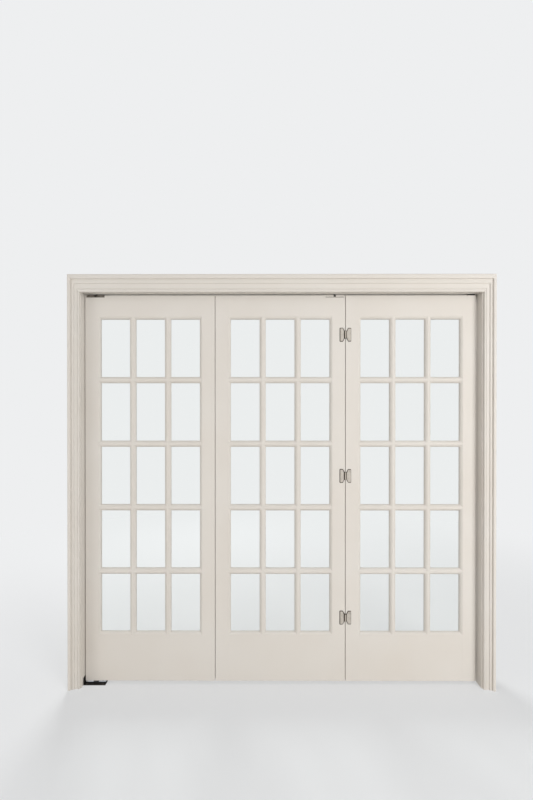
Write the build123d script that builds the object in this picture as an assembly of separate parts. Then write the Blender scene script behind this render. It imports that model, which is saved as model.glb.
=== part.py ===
from build123d import *
import os

os.makedirs("parts", exist_ok=True)

# Three folding glazed doors in a cased frame, sizes in millimetres.
# X runs to the right seen from the front, the front faces -Y, Z is up.
# The origin is on the floor, under the middle of the frame.

# Leaves
leaf_width = 683.0
leaf_height = 2032.0
leaf_thickness = 35.0
floor_gap = 12.0
seam_gap = 3.0
pivot_side_gap = 4.0
free_side_gap = 13.0
edge_ease = 1.2

# Stiles, rails and glazing bars, measured to the edge of the glass in view
stile_width = 80.5
top_rail_height = 124.0
bottom_rail_height = 256.0
bar_width = 33.0
pane_columns = 3
pane_rows = 5

# Moulded edge round each pane, glass and beads
moulding_width = 12.5
moulding_depth = 12.0
quirk_depth = 1.2
quirk_ledge = 1.0
glass_setback = 14.0
glass_thickness = 4.0
glass_edge_gap = 1.5
rabbet_width = 11.0
bead_nose = 2.5

# Dowels between stiles and rails
dowel_radius = 6.0
dowel_length = 90.0
top_rail_dowels = 2
bottom_rail_dowels = 3
pin_dowel_clearance = 16 / 3

# Jambs and head
jamb_depth = 116.0
jamb_thickness = 19.0
head_rebate = 9.0

# Track under the head
track_gap = 8.0
track_height = 28.0
track_width = 30.0
track_wall = 1.5
track_slot = 14.0
track_screw_count = 7
track_end_inset = 60.0

# Casing, its profile is drawn at the width of a leg and stretched over the head
casing_reveal = 5.0
casing_leg_width = 58.0
casing_head_width = 90.0
casing_head_clearance = 3.0
bead_width = 11.0
bead_edge = 5.0
bead_rise = 7.0
quirk_width = 1.5
fascia_width = 15.0
fascia_thickness = 10.0
roll_width = 13.0
roll_rise = 6.0
groove_width = 2.0
band_edge = 20.0
band_rise = 4.0

# Butterfly hinges
hinge_height = 70.0
hinge_wing = 29.0
hinge_plate = 2.0
hinge_barrel = 38.0
hinge_axis_offset = 4.5
knuckle_radius = 3.5
knuckle_count = 5
knuckle_gap = 0.3
hinge_pin_radius = 2.0
pin_head_radius = 3.2
pin_head_height = 1.8
wing_neck = 7.0
wing_shoulder = 14.0
wing_corner = 2.5
hinge_top_drop = 207.0
hinge_middle_drop = 950.0
hinge_bottom_rise = 335.0
wing_screw_inset = 9.0
wing_screw_spread = 50.0

# Pivots and guide
pivot_offset = 55.0
pivot_pin_radius = 4.75
bottom_pin_depth = 30.0
pivot_pin_reach = 24.0
pivot_plate_length = 84.0
pivot_plate_width = 30.0
pivot_plate_thickness = 2.0
pivot_screw_inset = 12.0
bracket_lip_length = 94.0
bracket_lip_drop = 8.0
bracket_lip_thickness = 0.8
socket_wall = 25.0
socket_height = 18.0
guide_pin_radius = 4.0
guide_collar_radius = 6.0
guide_collar_height = 1.7
wheel_radius = 12.0
wheel_height = 10.0
wheel_lift = 5.0
wheel_end_play = 0.3

# Bottom pivot on the floor
floor_plate_length = 115.0
floor_plate_width = 76.0
floor_plate_thickness = 2.5
floor_flange_height = 38.0
floor_hole_radius = 2.6
floor_hole_inset = 14.0
floor_hole_side = 9.0
flange_screw_height = 23.0
flange_screw_inset = 14.0
channel_width = 28.0
channel_wall = 1.5
channel_height = 7.0
channel_end_gap = 5.0
socket_block_length = 28.0
socket_block_height = 5.0
socket_floor = 1.0
pin_end_play = 0.2

# Magnet catch for the free leaf
catch_length = 36.0
catch_width = 26.0
catch_gap = 1.0
catch_inset = 1.0
catch_plate_length = 32.0
catch_plate_width = 18.0
catch_plate_thickness = 1.5
catch_screw_inset = 5.0
catch_plate_screw_inset = 8.0
catch_screw_length = 10.0

# Screws
screw_head_radius = 3.6
screw_head_depth = 1.5
screw_shank_radius = 1.75
wood_screw_length = 16.0
track_screw_length = 16.0
drive_width = 0.8
drive_span = 3.6
drive_depth = 0.7

# Clearances
running_gap = 0.05
fixed_gap = 0.02
mortise_gap = 0.1

# Places worked out from the sizes above
leaf_pitch = leaf_width + seam_gap
opening_width = pivot_side_gap + 3 * leaf_width + 2 * seam_gap + free_side_gap
opening_left = -opening_width / 2
opening_right = opening_width / 2
leaf_left = [opening_left + pivot_side_gap + i * leaf_pitch for i in range(3)]
leaf_right = [x + leaf_width for x in leaf_left]
leaf_top = floor_gap + leaf_height
leaf_front = -leaf_thickness / 2
leaf_back = leaf_thickness / 2
track_bottom = leaf_top + track_gap
track_top = track_bottom + track_height
frame_top = track_top + jamb_thickness
frame_front = -jamb_depth / 2
pivot_x = leaf_left[0] + pivot_offset
guide_x = leaf_right[1] - pivot_offset
seam_12 = leaf_right[0] + seam_gap / 2
seam_23 = leaf_right[1] + seam_gap / 2
# The pins in a leaf's top end over the upper dowels
top_dowel_pitch = top_rail_height / (top_rail_dowels + 1)
top_pin_depth = top_dowel_pitch - dowel_radius - pin_dowel_clearance
hinge_heights = [
    floor_gap + hinge_bottom_rise,
    leaf_top - hinge_middle_drop,
    leaf_top - hinge_top_drop,
]
casing_inner_x = opening_right + casing_reveal
casing_outer_x = casing_inner_x + casing_leg_width
casing_inner_z = leaf_top + casing_head_clearance
casing_outer_z = casing_inner_z + casing_head_width
pane_width = (leaf_width - 2 * stile_width - (pane_columns - 1) * bar_width) / pane_columns
field_height = leaf_height - top_rail_height - bottom_rail_height
pane_height = (field_height - (pane_rows - 1) * bar_width) / pane_rows
glass_front = leaf_front + glass_setback
glass_back = glass_front + glass_thickness


def block(x0, x1, y0, y1, z0, z1):
    """Box between two opposite corners."""
    centre = Pos((x0 + x1) / 2, (y0 + y1) / 2, (z0 + z1) / 2)
    return centre * Box(x1 - x0, y1 - y0, z1 - z0)


def prism(points, direction, length):
    """Flat outline of points in space, pushed along a direction."""
    outline = make_face(Polyline(*points, close=True))
    return extrude(outline, amount=length, dir=direction)


def post(x, y, z0, z1, radius):
    """Upright round bar or hole."""
    return Pos(x, y, (z0 + z1) / 2) * Cylinder(radius, z1 - z0)


def solids_of(shapes):
    """All the solids of a list of shapes, in one list."""
    return [solid for shape in shapes for solid in shape.solids()]


def save(name, *shapes):
    """Write one node: a single solid, or a group of separate solids."""
    solids = solids_of(shapes)
    shape = solids[0] if len(solids) == 1 else Compound(solids)
    export_step(shape, "parts/" + name + ".step")


def cut(shape, tools):
    """Take each tool out of the shape."""
    for tool in tools:
        shape = shape - tool
    return shape


def screw(length, gap=0.0):
    """Countersunk screw with its head's face at Z = 0 and its shank down -Z."""
    head = screw_head_radius + gap
    shank = screw_shank_radius + gap
    outline = Polyline(
        (0, 0), (head, 0), (shank, -screw_head_depth), (shank, -length - gap), (0, -length - gap),
        close=True,
    )
    body = revolve(make_face(Plane.XZ * outline), Axis.Z)
    if gap:
        return body
    for turn in (0, 90):
        slot = Box(drive_span, drive_width, 2 * drive_depth)
        body = body - Rot(0, 0, turn) * slot
    return body


def screws_at(places, length):
    return [place * screw(length) for place in places]


def holes_at(places, length):
    return [place * screw(length, fixed_gap) for place in places]


# The ways a screw can point
pointing_down = Rot(0, 0, 0)
pointing_up = Rot(180, 0, 0)
pointing_back = Rot(90, 0, 0)
pointing_left = Rot(0, 90, 0)


# Leaf joinery, drawn once with the leaf's lower left corner at X = 0, Z = 0
pane_centres = [
    (
        stile_width + pane_width / 2 + column * (pane_width + bar_width),
        bottom_rail_height + pane_height / 2 + row * (pane_height + bar_width),
    )
    for row in range(pane_rows)
    for column in range(pane_columns)
]


def moulded_side(half):
    """Half outline of a pane's opening: place across, then depth in Y."""
    over = leaf_front - 1
    return [
        (half + moulding_width, over),
        (half + moulding_width, leaf_front + quirk_depth),
        (half + moulding_width - quirk_ledge, leaf_front + quirk_depth),
        (half, leaf_front + moulding_depth),
        (half, glass_front),
    ]


def pane_cutter():
    """Opening of one pane: moulded edge in front, rabbet for glass and beads behind."""
    reach_x = pane_width / 2 + moulding_width + 1
    reach_z = pane_height / 2 + moulding_width + 1
    across = moulded_side(pane_width / 2)
    upright = moulded_side(pane_height / 2)
    plan = [(x, y, -reach_z) for x, y in across] + [(-x, y, -reach_z) for x, y in reversed(across)]
    side = [(-reach_x, y, z) for z, y in upright] + [(-reach_x, y, -z) for z, y in reversed(upright)]
    front = prism(plan, (0, 0, 1), 2 * reach_z) & prism(side, (1, 0, 0), 2 * reach_x)
    half_x = pane_width / 2 + rabbet_width
    half_z = pane_height / 2 + rabbet_width
    return front, block(-half_x, half_x, glass_front, leaf_back + 1, -half_z, half_z)


front_cutter, rabbet_cutter = pane_cutter()


def cut_panes(member):
    """Cut the openings of the panes that reach into a member."""
    box = member.bounding_box()
    for x, z in pane_centres:
        reach_x = pane_width / 2 + moulding_width
        reach_z = pane_height / 2 + moulding_width
        apart_x = x - reach_x > box.max.X or x + reach_x < box.min.X
        apart_z = z - reach_z > box.max.Z or z + reach_z < box.min.Z
        if apart_x or apart_z:
            continue
        member = member - Pos(x, 0, z) * front_cutter - Pos(x, 0, z) * rabbet_cutter
    return member


def stile(outer_side):
    """Full-height stile, its outer long edges eased; outer_side is -1 on the left."""
    outer = 0 if outer_side < 0 else leaf_width
    inner = outer - outer_side * stile_width
    eased = outer - outer_side * edge_ease
    plan = [
        (inner, leaf_front, 0),
        (eased, leaf_front, 0),
        (outer, leaf_front + edge_ease, 0),
        (outer, leaf_back - edge_ease, 0),
        (eased, leaf_back, 0),
        (inner, leaf_back, 0),
    ]
    return cut_panes(prism(plan, (0, 0, 1), leaf_height))


def rail(z0, z1):
    left = stile_width
    right = leaf_width - stile_width
    return cut_panes(block(left, right, leaf_front, leaf_back, z0, z1))


def glazing_bars():
    """Upright bars run through, level bars are cut between them and the stiles."""
    bars = []
    z0 = bottom_rail_height
    for column in range(1, pane_columns):
        x = stile_width + column * (pane_width + bar_width)
        bars.append(block(x - bar_width, x, leaf_front, leaf_back, z0, z0 + field_height))
    for row in range(1, pane_rows):
        z = z0 + row * (pane_height + bar_width)
        for column in range(pane_columns):
            x = stile_width + column * (pane_width + bar_width)
            bars.append(block(x, x + pane_width, leaf_front, leaf_back, z - bar_width, z))
    return [cut_panes(bar) for bar in bars]


def bead_strips():
    """Four mitred strips that hold one pane in its rabbet."""
    half_x = pane_width / 2 + rabbet_width
    half_z = pane_height / 2 + rabbet_width
    section = [(0, glass_back), (rabbet_width, glass_back), (rabbet_width, glass_back + bead_nose),
               (bead_nose, leaf_back), (0, leaf_back)]
    upright = prism([(-half_x + u, y, -half_z) for u, y in section], (0, 0, 1), 2 * half_z)
    level = prism([(-half_x, y, -half_z + u) for u, y in section], (1, 0, 0), 2 * half_x)
    side_mask = prism(
        [(-half_x, 0, -half_z), (-half_x + rabbet_width, 0, -half_z + rabbet_width),
         (-half_x + rabbet_width, 0, half_z - rabbet_width), (-half_x, 0, half_z)],
        (0, 1, 0), leaf_back,
    )
    level_mask = prism(
        [(-half_x, 0, -half_z), (-half_x + rabbet_width, 0, -half_z + rabbet_width),
         (half_x - rabbet_width, 0, -half_z + rabbet_width), (half_x, 0, -half_z)],
        (0, 1, 0), leaf_back,
    )
    left = upright & side_mask
    low = level & level_mask
    return [left, mirror(left, about=Plane.YZ), low, mirror(low, about=Plane.XY)]


def at_panes(shape):
    """A copy of one shape in each pane."""
    return [Pos(x, 0, z) * shape for x, z in pane_centres]


def dowels(gap=0.0):
    """Dowels across the joints of stiles and rails."""
    heights = [(i + 1) * bottom_rail_height / (bottom_rail_dowels + 1) for i in range(bottom_rail_dowels)]
    heights += [leaf_height - (i + 1) * top_dowel_pitch for i in range(top_rail_dowels)]
    bar = Rot(0, 90, 0) * Cylinder(dowel_radius + gap, dowel_length + 2 * gap)
    return [Pos(x, 0, z) * bar for x in (stile_width, leaf_width - stile_width) for z in heights]


glass_half_x = pane_width / 2 + rabbet_width - glass_edge_gap
glass_half_z = pane_height / 2 + rabbet_width - glass_edge_gap
glass_pane = block(-glass_half_x, glass_half_x, glass_front, glass_back, -glass_half_z, glass_half_z)
dowel_holes = dowels(fixed_gap)
joinery = {
    "stile_left": cut(stile(-1), dowel_holes),
    "stile_right": cut(stile(1), dowel_holes),
    "top_rail": cut(rail(leaf_height - top_rail_height, leaf_height), dowel_holes),
    "bottom_rail": cut(rail(0, bottom_rail_height), dowel_holes),
}
leaf_groups = {
    "glazing_bars": glazing_bars(),
    "glass_panes": at_panes(glass_pane),
    "glazing_beads": [copy for strip in bead_strips() for copy in at_panes(strip)],
    "rail_dowels": dowels(),
}


# Butterfly hinge, drawn on a front face: barrel along Z over the seam, wings in the XZ plane.
# Y = 0 is the leaf's face and the barrel stands at -Y.
def knuckle_spans():
    pitch = hinge_barrel / knuckle_count
    low = -hinge_barrel / 2
    return [(low + i * pitch, low + (i + 1) * pitch) for i in range(knuckle_count)]


def wing_screw_places(side):
    """Three screws a wing, heads on the plate's front."""
    x = side * (hinge_wing - wing_screw_inset)
    spread = wing_screw_spread / 2
    return [Pos(x, -hinge_plate, z) * pointing_back for z in (-spread, 0, spread)]


def hinge_wing_solid(side, first_knuckle):
    """One wing with its knuckles; side is -1 for the left wing."""
    half = hinge_height / 2
    neck = hinge_barrel / 2
    outline = FilletPolyline(
        (0, 0, -neck), (wing_neck * side, 0, -neck), (wing_shoulder * side, 0, -half),
        (hinge_wing * side, 0, -half), (hinge_wing * side, 0, half),
        (wing_shoulder * side, 0, half), (wing_neck * side, 0, neck), (0, 0, neck),
        radius=[0, 0, wing_corner, wing_corner, wing_corner, wing_corner, 0, 0],
        close=True,
    )
    wing = extrude(make_face(outline), amount=hinge_plate, dir=(0, -1, 0))
    notch = knuckle_radius + knuckle_gap
    for index, (low, high) in enumerate(knuckle_spans()):
        own = index % 2 == first_knuckle
        if own:
            wing = wing + post(0, -hinge_axis_offset, low + knuckle_gap / 2, high - knuckle_gap / 2,
                               knuckle_radius)
        else:
            wing = wing - block(-notch, notch, -2 * hinge_axis_offset, 1,
                                low - knuckle_gap / 2, high + knuckle_gap / 2)
    bore = hinge_pin_radius + (fixed_gap if first_knuckle == 0 else running_gap)
    wing = wing - post(0, -hinge_axis_offset, -half, half, bore)
    return cut(wing, holes_at(wing_screw_places(side), wood_screw_length))


def hinge_pin():
    """Pin with a flat head at each end, fixed in the outer knuckles."""
    end = hinge_barrel / 2
    y = -hinge_axis_offset
    pin = post(0, y, -end - pin_head_height, end + pin_head_height, hinge_pin_radius)
    for z0, z1 in ((-end - pin_head_height, -end), (end, end + pin_head_height)):
        pin = pin + post(0, y, z0, z1, pin_head_radius)
    return pin


def hinge_places(seam, on_front):
    """Where the three hinges of a seam stand."""
    face = leaf_front if on_front else leaf_back
    turn = Rot(0, 0, 0) if on_front else Rot(0, 0, 180)
    return [Pos(seam, face, z) * turn for z in hinge_heights]


def at_places(places, shape):
    return [place * shape for place in places]


places_12 = hinge_places(seam_12, on_front=False)
places_23 = hinge_places(seam_23, on_front=True)
left_wing = hinge_wing_solid(-1, 0)
right_wing = hinge_wing_solid(1, 1)
# On the back the hinge is turned round, so its left wing lies on the leaf to the right
save("hinge_12_wings_leaf_1", *at_places(places_12, right_wing))
save("hinge_12_wings_leaf_2", *at_places(places_12, left_wing))
save("hinge_12_pins", *at_places(places_12, hinge_pin()))
save("hinge_23_wings_leaf_2", *at_places(places_23, left_wing))
save("hinge_23_wings_leaf_3", *at_places(places_23, right_wing))
save("hinge_23_pins", *at_places(places_23, hinge_pin()))


def wing_screws(places, side):
    return [place * spot for place in places for spot in wing_screw_places(side)]


# Pivot plates, pivot pins and the guide on the leaves' top and bottom edges
def edge_plate(x, z0, z1, pin_radius):
    """Plate on a leaf's edge round a pin at X."""
    half_length = pivot_plate_length / 2
    half_width = pivot_plate_width / 2
    plate = block(x - half_length, x + half_length, -half_width, half_width, z0, z1)
    plate = fillet(plate.edges().filter_by(Axis.Z), wing_corner)
    return plate - post(x, 0, z0, z1, pin_radius + fixed_gap)


def bracket(x, pin_radius):
    """Top plate round a pin at X, with a lip bent down over the leaf's front."""
    half_length = pivot_plate_length / 2
    half_lip = bracket_lip_length / 2
    lip_front = leaf_front - bracket_lip_thickness
    bend = block(x - half_length, x + half_length, lip_front, -pivot_plate_width / 4, leaf_top, plate_top)
    lip = block(x - half_lip, x + half_lip, lip_front, leaf_front, leaf_top - bracket_lip_drop, plate_top)
    return edge_plate(x, leaf_top, plate_top, pin_radius) + bend + lip


def edge_screw_places(x, z, turn):
    spread = pivot_plate_length / 2 - pivot_screw_inset
    return [Pos(x + side * spread, 0, z) * turn for side in (-1, 1)]


plate_top = leaf_top + pivot_plate_thickness
plate_bottom = floor_gap - pivot_plate_thickness
channel_floor = floor_plate_thickness + channel_wall
socket_top = channel_floor + socket_block_height
pivot_pin_low = channel_floor + socket_floor + pin_end_play
top_pivot_places = edge_screw_places(pivot_x, plate_top, pointing_down)
bottom_pivot_places = edge_screw_places(pivot_x, plate_bottom, pointing_up)
guide_places = edge_screw_places(guide_x, plate_top, pointing_down)
top_plate = bracket(pivot_x, pivot_pin_radius)
bottom_plate = edge_plate(pivot_x, plate_bottom, floor_gap, pivot_pin_radius)
guide_plate = bracket(guide_x, guide_pin_radius)
save("top_pivot_plate", cut(top_plate, holes_at(top_pivot_places, wood_screw_length)))
save("bottom_pivot_plate", cut(bottom_plate, holes_at(bottom_pivot_places, wood_screw_length)))
save("guide_plate", cut(guide_plate, holes_at(guide_places, wood_screw_length)))
save("top_pivot_pin",
     post(pivot_x, 0, leaf_top - top_pin_depth, leaf_top + pivot_pin_reach, pivot_pin_radius))
save("bottom_pivot_pin", post(pivot_x, 0, pivot_pin_low, floor_gap + bottom_pin_depth, pivot_pin_radius))

wheel_low = track_bottom + track_wall + wheel_lift
wheel_high = wheel_low + wheel_height
collar_low = wheel_low - wheel_end_play - guide_collar_height
rivet_low = wheel_high + wheel_end_play
guide_pin = post(guide_x, 0, leaf_top - top_pin_depth, rivet_low + guide_collar_height, guide_pin_radius)
for z0 in (collar_low, rivet_low):
    guide_pin = guide_pin + post(guide_x, 0, z0, z0 + guide_collar_height, guide_collar_radius)
save("guide_pin", guide_pin)
guide_wheel = post(guide_x, 0, wheel_low, wheel_high, wheel_radius)
guide_wheel = chamfer(guide_wheel.edges().filter_by(GeomType.CIRCLE), edge_ease)
save("guide_wheel", guide_wheel - post(guide_x, 0, wheel_low, wheel_high, guide_pin_radius + running_gap))

# Magnet catch under the track and its plate on the free leaf
catch_right = leaf_right[2] - catch_inset
catch_x = catch_right - catch_length / 2
catch_low = leaf_top + catch_plate_thickness + catch_gap
catch_plate_top = leaf_top + catch_plate_thickness
catch_lip = (track_width / 2 - track_wall + track_slot / 2) / 2
catch_places = [
    Pos(catch_x + side * (catch_length / 2 - catch_screw_inset), side * catch_lip, catch_low) * pointing_up
    for side in (-1, 1)
]
catch_plate_places = [
    Pos(catch_x + side * (catch_plate_length / 2 - catch_plate_screw_inset), 0, catch_plate_top)
    * pointing_down
    for side in (-1, 1)
]
catch = block(catch_x - catch_length / 2, catch_right, -catch_width / 2, catch_width / 2,
              catch_low, track_bottom)
catch = fillet(catch.edges().filter_by(Axis.Z), wing_corner)
save("catch_magnet", cut(catch, holes_at(catch_places, catch_screw_length)))
save("catch_screws", *screws_at(catch_places, catch_screw_length))
catch_plate = block(
    catch_x - catch_plate_length / 2, catch_x + catch_plate_length / 2,
    -catch_plate_width / 2, catch_plate_width / 2, leaf_top, catch_plate_top,
)
save("catch_plate", cut(catch_plate, holes_at(catch_plate_places, wood_screw_length)))

# Leaves: the same joinery three times, each drilled for its own hardware
leaf_screws = [
    wing_screws(places_12, 1) + top_pivot_places + bottom_pivot_places,
    wing_screws(places_12, -1) + wing_screws(places_23, -1) + guide_places,
    wing_screws(places_23, 1) + catch_plate_places,
]
pin_holes = [
    [
        post(pivot_x, 0, leaf_top - top_pin_depth, leaf_top, pivot_pin_radius + fixed_gap),
        post(pivot_x, 0, floor_gap, floor_gap + bottom_pin_depth, pivot_pin_radius + fixed_gap),
    ],
    [post(guide_x, 0, leaf_top - top_pin_depth, leaf_top, guide_pin_radius + fixed_gap)],
    [],
]


def near(member, tool):
    """Whether two shapes' boxes meet."""
    a = member.bounding_box()
    b = tool.bounding_box()
    return all(
        low < high
        for low, high in (
            (a.min.X, b.max.X), (b.min.X, a.max.X), (a.min.Y, b.max.Y), (b.min.Y, a.max.Y),
            (a.min.Z, b.max.Z), (b.min.Z, a.max.Z),
        )
    )


for index, left in enumerate(leaf_left):
    leaf = "leaf_" + str(index + 1) + "_"
    place = Pos(left, 0, floor_gap)
    holes = holes_at(leaf_screws[index], wood_screw_length) + pin_holes[index]
    for name, member in joinery.items():
        member = place * member
        save(leaf + name, cut(member, [hole for hole in holes if near(member, hole)]))
    for name, group in leaf_groups.items():
        save(leaf + name, *[place * shape for shape in group])
    save(leaf + "screws", *screws_at(leaf_screws[index], wood_screw_length))

# Track: a channel folded from strip, open below
half_track = track_width / 2
inner_track = half_track - track_wall
half_slot = track_slot / 2
track_section = [
    (-half_track, track_top), (half_track, track_top), (half_track, track_bottom),
    (half_slot, track_bottom), (half_slot, track_bottom + track_wall),
    (inner_track, track_bottom + track_wall), (inner_track, track_top - track_wall),
    (-inner_track, track_top - track_wall), (-inner_track, track_bottom + track_wall),
    (-half_slot, track_bottom + track_wall), (-half_slot, track_bottom), (-half_track, track_bottom),
]
track = prism([(opening_left, y, z) for y, z in track_section], (1, 0, 0), opening_width)
track_step = (opening_width - 2 * track_end_inset - 2 * pivot_offset) / (track_screw_count - 1)
track_places = [
    Pos(opening_left + track_end_inset + 2 * pivot_offset + i * track_step, 0,
        track_top - track_wall) * pointing_up
    for i in range(track_screw_count)
]
track_holes = holes_at(track_places, track_screw_length)
save("top_track", cut(track, track_holes + holes_at(catch_places, catch_screw_length)))
save("track_screws", *screws_at(track_places, track_screw_length))

# Top pivot socket, held between the track's walls
socket_low = track_bottom + track_wall
socket_half = inner_track - mortise_gap
socket = block(opening_left, pivot_x + socket_wall, -socket_half, socket_half,
               socket_low, socket_low + socket_height)
save("top_pivot_socket",
     socket - post(pivot_x, 0, socket_low, socket_low + socket_height, pivot_pin_radius + running_gap))

# Bottom pivot: floor plate with a flange let into the jamb, bright channel and dark socket block
flange_left = opening_left - floor_plate_thickness
floor_plate = block(opening_left, opening_left + floor_plate_length, -floor_plate_width / 2,
                    floor_plate_width / 2, 0, floor_plate_thickness)
flange = block(flange_left, opening_left, -floor_plate_width / 2, floor_plate_width / 2,
               0, floor_flange_height)
flange_places = [
    Pos(opening_left, side * (floor_plate_width / 2 - flange_screw_inset), flange_screw_height)
    * pointing_left
    for side in (-1, 1)
]
floor_holes = [
    post(x, side * (floor_plate_width / 2 - floor_hole_side), 0, floor_plate_thickness, floor_hole_radius)
    for x in (opening_left + floor_hole_inset, opening_left + floor_plate_length - floor_hole_inset)
    for side in (-1, 1)
]
floor_plate = cut(floor_plate + flange, floor_holes + holes_at(flange_places, wood_screw_length))
save("floor_plate", floor_plate)
save("floor_plate_screws", *screws_at(flange_places, wood_screw_length))
channel_left = opening_left + channel_end_gap
channel_right = opening_left + floor_plate_length - channel_end_gap
half_channel = channel_width / 2
channel = block(channel_left, channel_right, -half_channel, half_channel,
                floor_plate_thickness, floor_plate_thickness + channel_height)
half_inside = half_channel - channel_wall
channel = channel - block(channel_left, channel_right, -half_inside, half_inside, channel_floor, leaf_top)
block_left = pivot_x - socket_block_length / 2
block_right = pivot_x + socket_block_length / 2
channel = channel - block(block_left - mortise_gap, block_right + mortise_gap, -half_channel,
                          half_channel, channel_floor, leaf_top)
save("pivot_channel", channel)
socket_block = block(block_left, block_right, -half_channel, half_channel, channel_floor, socket_top)
save("bottom_pivot_socket",
     socket_block - post(pivot_x, 0, channel_floor + socket_floor, socket_top,
                         pivot_pin_radius + running_gap))

# Jambs and head; the head is let into the jambs
head = block(opening_left - head_rebate, opening_right + head_rebate, -jamb_depth / 2, jamb_depth / 2,
             track_top, frame_top)
jamb = block(opening_right, opening_right + jamb_thickness, -jamb_depth / 2, jamb_depth / 2, 0, frame_top)
jamb_right = jamb - head
jamb_left = mirror(jamb, about=Plane.YZ) - head
flange_pocket = block(flange_left - mortise_gap, opening_left, -floor_plate_width / 2 - mortise_gap,
                      floor_plate_width / 2 + mortise_gap, 0, floor_flange_height + mortise_gap)
save("jamb_left", cut(jamb_left, [flange_pocket] + holes_at(flange_places, wood_screw_length)))
save("jamb_right", jamb_right)
save("head_jamb", cut(head, track_holes))


# Casing
def casing_face(stretch):
    """Casing section: inner edge at X = 0, back at Y = 0; stretch widens it, not its thickness."""
    u = 0.0
    lines = [Line((0, 0), (0, bead_edge))]

    def go(points):
        for start, end in zip(points, points[1:]):
            lines.append(Line(start, end))

    def swell(width, base, rise):
        """Half an ellipse standing on the section's face."""
        half = width * stretch / 2
        centre = (u * stretch + half, base)
        lines.append(EllipticalCenterArc(centre, half, rise, start_angle=180, arc_size=-180))

    swell(bead_width, bead_edge, bead_rise)
    u += bead_width
    fascia_start = (u + quirk_width) * stretch
    fascia_end = (u + quirk_width + fascia_width) * stretch
    go([(u * stretch, bead_edge), (fascia_start, bead_edge), (fascia_start, fascia_thickness),
        (fascia_end, fascia_thickness)])
    u += quirk_width + fascia_width
    swell(roll_width, fascia_thickness, roll_rise)
    u += roll_width
    band_start = (u + groove_width) * stretch
    go([(u * stretch, fascia_thickness), (band_start, fascia_thickness), (band_start, band_edge)])
    u += groove_width
    swell(casing_leg_width - u, band_edge, band_rise)
    outer = casing_leg_width * stretch
    go([(outer, band_edge), (outer, 0), (0, 0)])
    return make_face(lines)


def corner(points):
    """Waste beyond the mitre, right through the casing."""
    reach = frame_front - 2 * (band_edge + band_rise)
    return prism([(x, reach, z) for x, z in points], (0, 1, 0), -2 * reach)


leg_plane = Plane(origin=(-casing_inner_x, frame_front, 0), x_dir=(-1, 0, 0), z_dir=(0, 0, 1))
head_plane = Plane(origin=(-casing_outer_x, frame_front, casing_inner_z), x_dir=(0, 0, 1), z_dir=(1, 0, 0))
inner_corner = (-casing_inner_x, casing_inner_z)
outer_corner = (-casing_outer_x, casing_outer_z)
leg = extrude(leg_plane * casing_face(1.0), amount=casing_outer_z)
leg = leg - corner([inner_corner, outer_corner, (-casing_inner_x, casing_outer_z)])
casing_head = extrude(head_plane * casing_face(casing_head_width / casing_leg_width),
                      amount=2 * casing_outer_x)
waste = corner([inner_corner, outer_corner, (-casing_outer_x, casing_inner_z)])
casing_head = casing_head - waste - mirror(waste, about=Plane.YZ)
front_casing = {"left": leg, "right": mirror(leg, about=Plane.YZ), "head": casing_head}
for name, piece in front_casing.items():
    save("casing_front_" + name, piece)
    save("casing_back_" + name, mirror(piece, about=Plane.XZ))
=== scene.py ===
import math

import bmesh
import bpy
import numpy as np
from bpy.props import FloatProperty, FloatVectorProperty, PointerProperty
from mathutils import Matrix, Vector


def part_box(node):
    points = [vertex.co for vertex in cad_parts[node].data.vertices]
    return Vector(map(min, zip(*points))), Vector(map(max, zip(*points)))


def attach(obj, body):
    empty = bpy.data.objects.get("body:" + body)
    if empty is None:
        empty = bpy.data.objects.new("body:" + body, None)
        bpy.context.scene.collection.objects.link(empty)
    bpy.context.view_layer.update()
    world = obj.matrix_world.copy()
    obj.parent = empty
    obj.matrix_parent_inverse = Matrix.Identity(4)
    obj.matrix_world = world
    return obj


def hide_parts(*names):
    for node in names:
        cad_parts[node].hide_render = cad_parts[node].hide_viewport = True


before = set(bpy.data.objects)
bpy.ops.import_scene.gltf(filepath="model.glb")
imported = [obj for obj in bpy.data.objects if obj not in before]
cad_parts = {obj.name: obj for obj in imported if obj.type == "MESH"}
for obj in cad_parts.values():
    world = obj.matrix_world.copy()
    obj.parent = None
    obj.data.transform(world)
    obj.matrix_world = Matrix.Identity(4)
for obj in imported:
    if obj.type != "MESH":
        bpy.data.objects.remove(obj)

bl_info = {
    "name": "Folding french doors",
    "version": (1, 0, 0),
    "blender": (4, 5, 0),
    "location": "3D View > Sidebar > Doors",
    "description": "Finished surfaces of three folding glazed leaves in their cased frame",
    "category": "Object",
}

# Three glazed leaves in a cased frame, in metres. X runs to the right seen from the front, the front
# faces -Y, Z is up, and the origin is on the floor under the middle of the frame.
MM = 0.001
X, Y, Z = 0, 1, 2
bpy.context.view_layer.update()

# Colours of the real finishes, as sRGB hex values
PAINT = "#D6D1CA"
PAINT_AGED = "#D0C8BE"
GLASS = "#FCFEFD"
NICKEL = "#DCD3C7"
NICKEL_DULL = "#BBB2A6"
ZINC = "#DADDE0"
ZINC_DULL = "#B4B9BE"
BLACK_OXIDE = "#262321"
BLACK_OXIDE_WORN = "#57504A"
BARE_STEEL = "#A39A90"
STRIP_ENAMEL = "#F1EDE6"
BLACK_ABS = "#1C1C1D"
NYLON = "#E6E3D8"
BEECH = "#C9A074"
BEECH_DARK = "#A87B4F"
# Matt brown-black of grime, used also as painted shade round the hinges, under the top plates' lips and in
# the screws
GRIME_AND_SHADE = "#29221C"
GRIME_AND_SHADE_DRY = "#463C32"
PALE_FLOOR = "#DFE0E1"
PALE_BACKDROP = "#EEEFF0"
FLOOR_BOUNCE = "#CCC8C3"

LEAVES = ("leaf_1", "leaf_2", "leaf_3")
PANE_COLUMNS = 3
PANE_ROWS = 5
KNUCKLES = 5
SMOOTH_ANGLE = math.radians(40)

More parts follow.
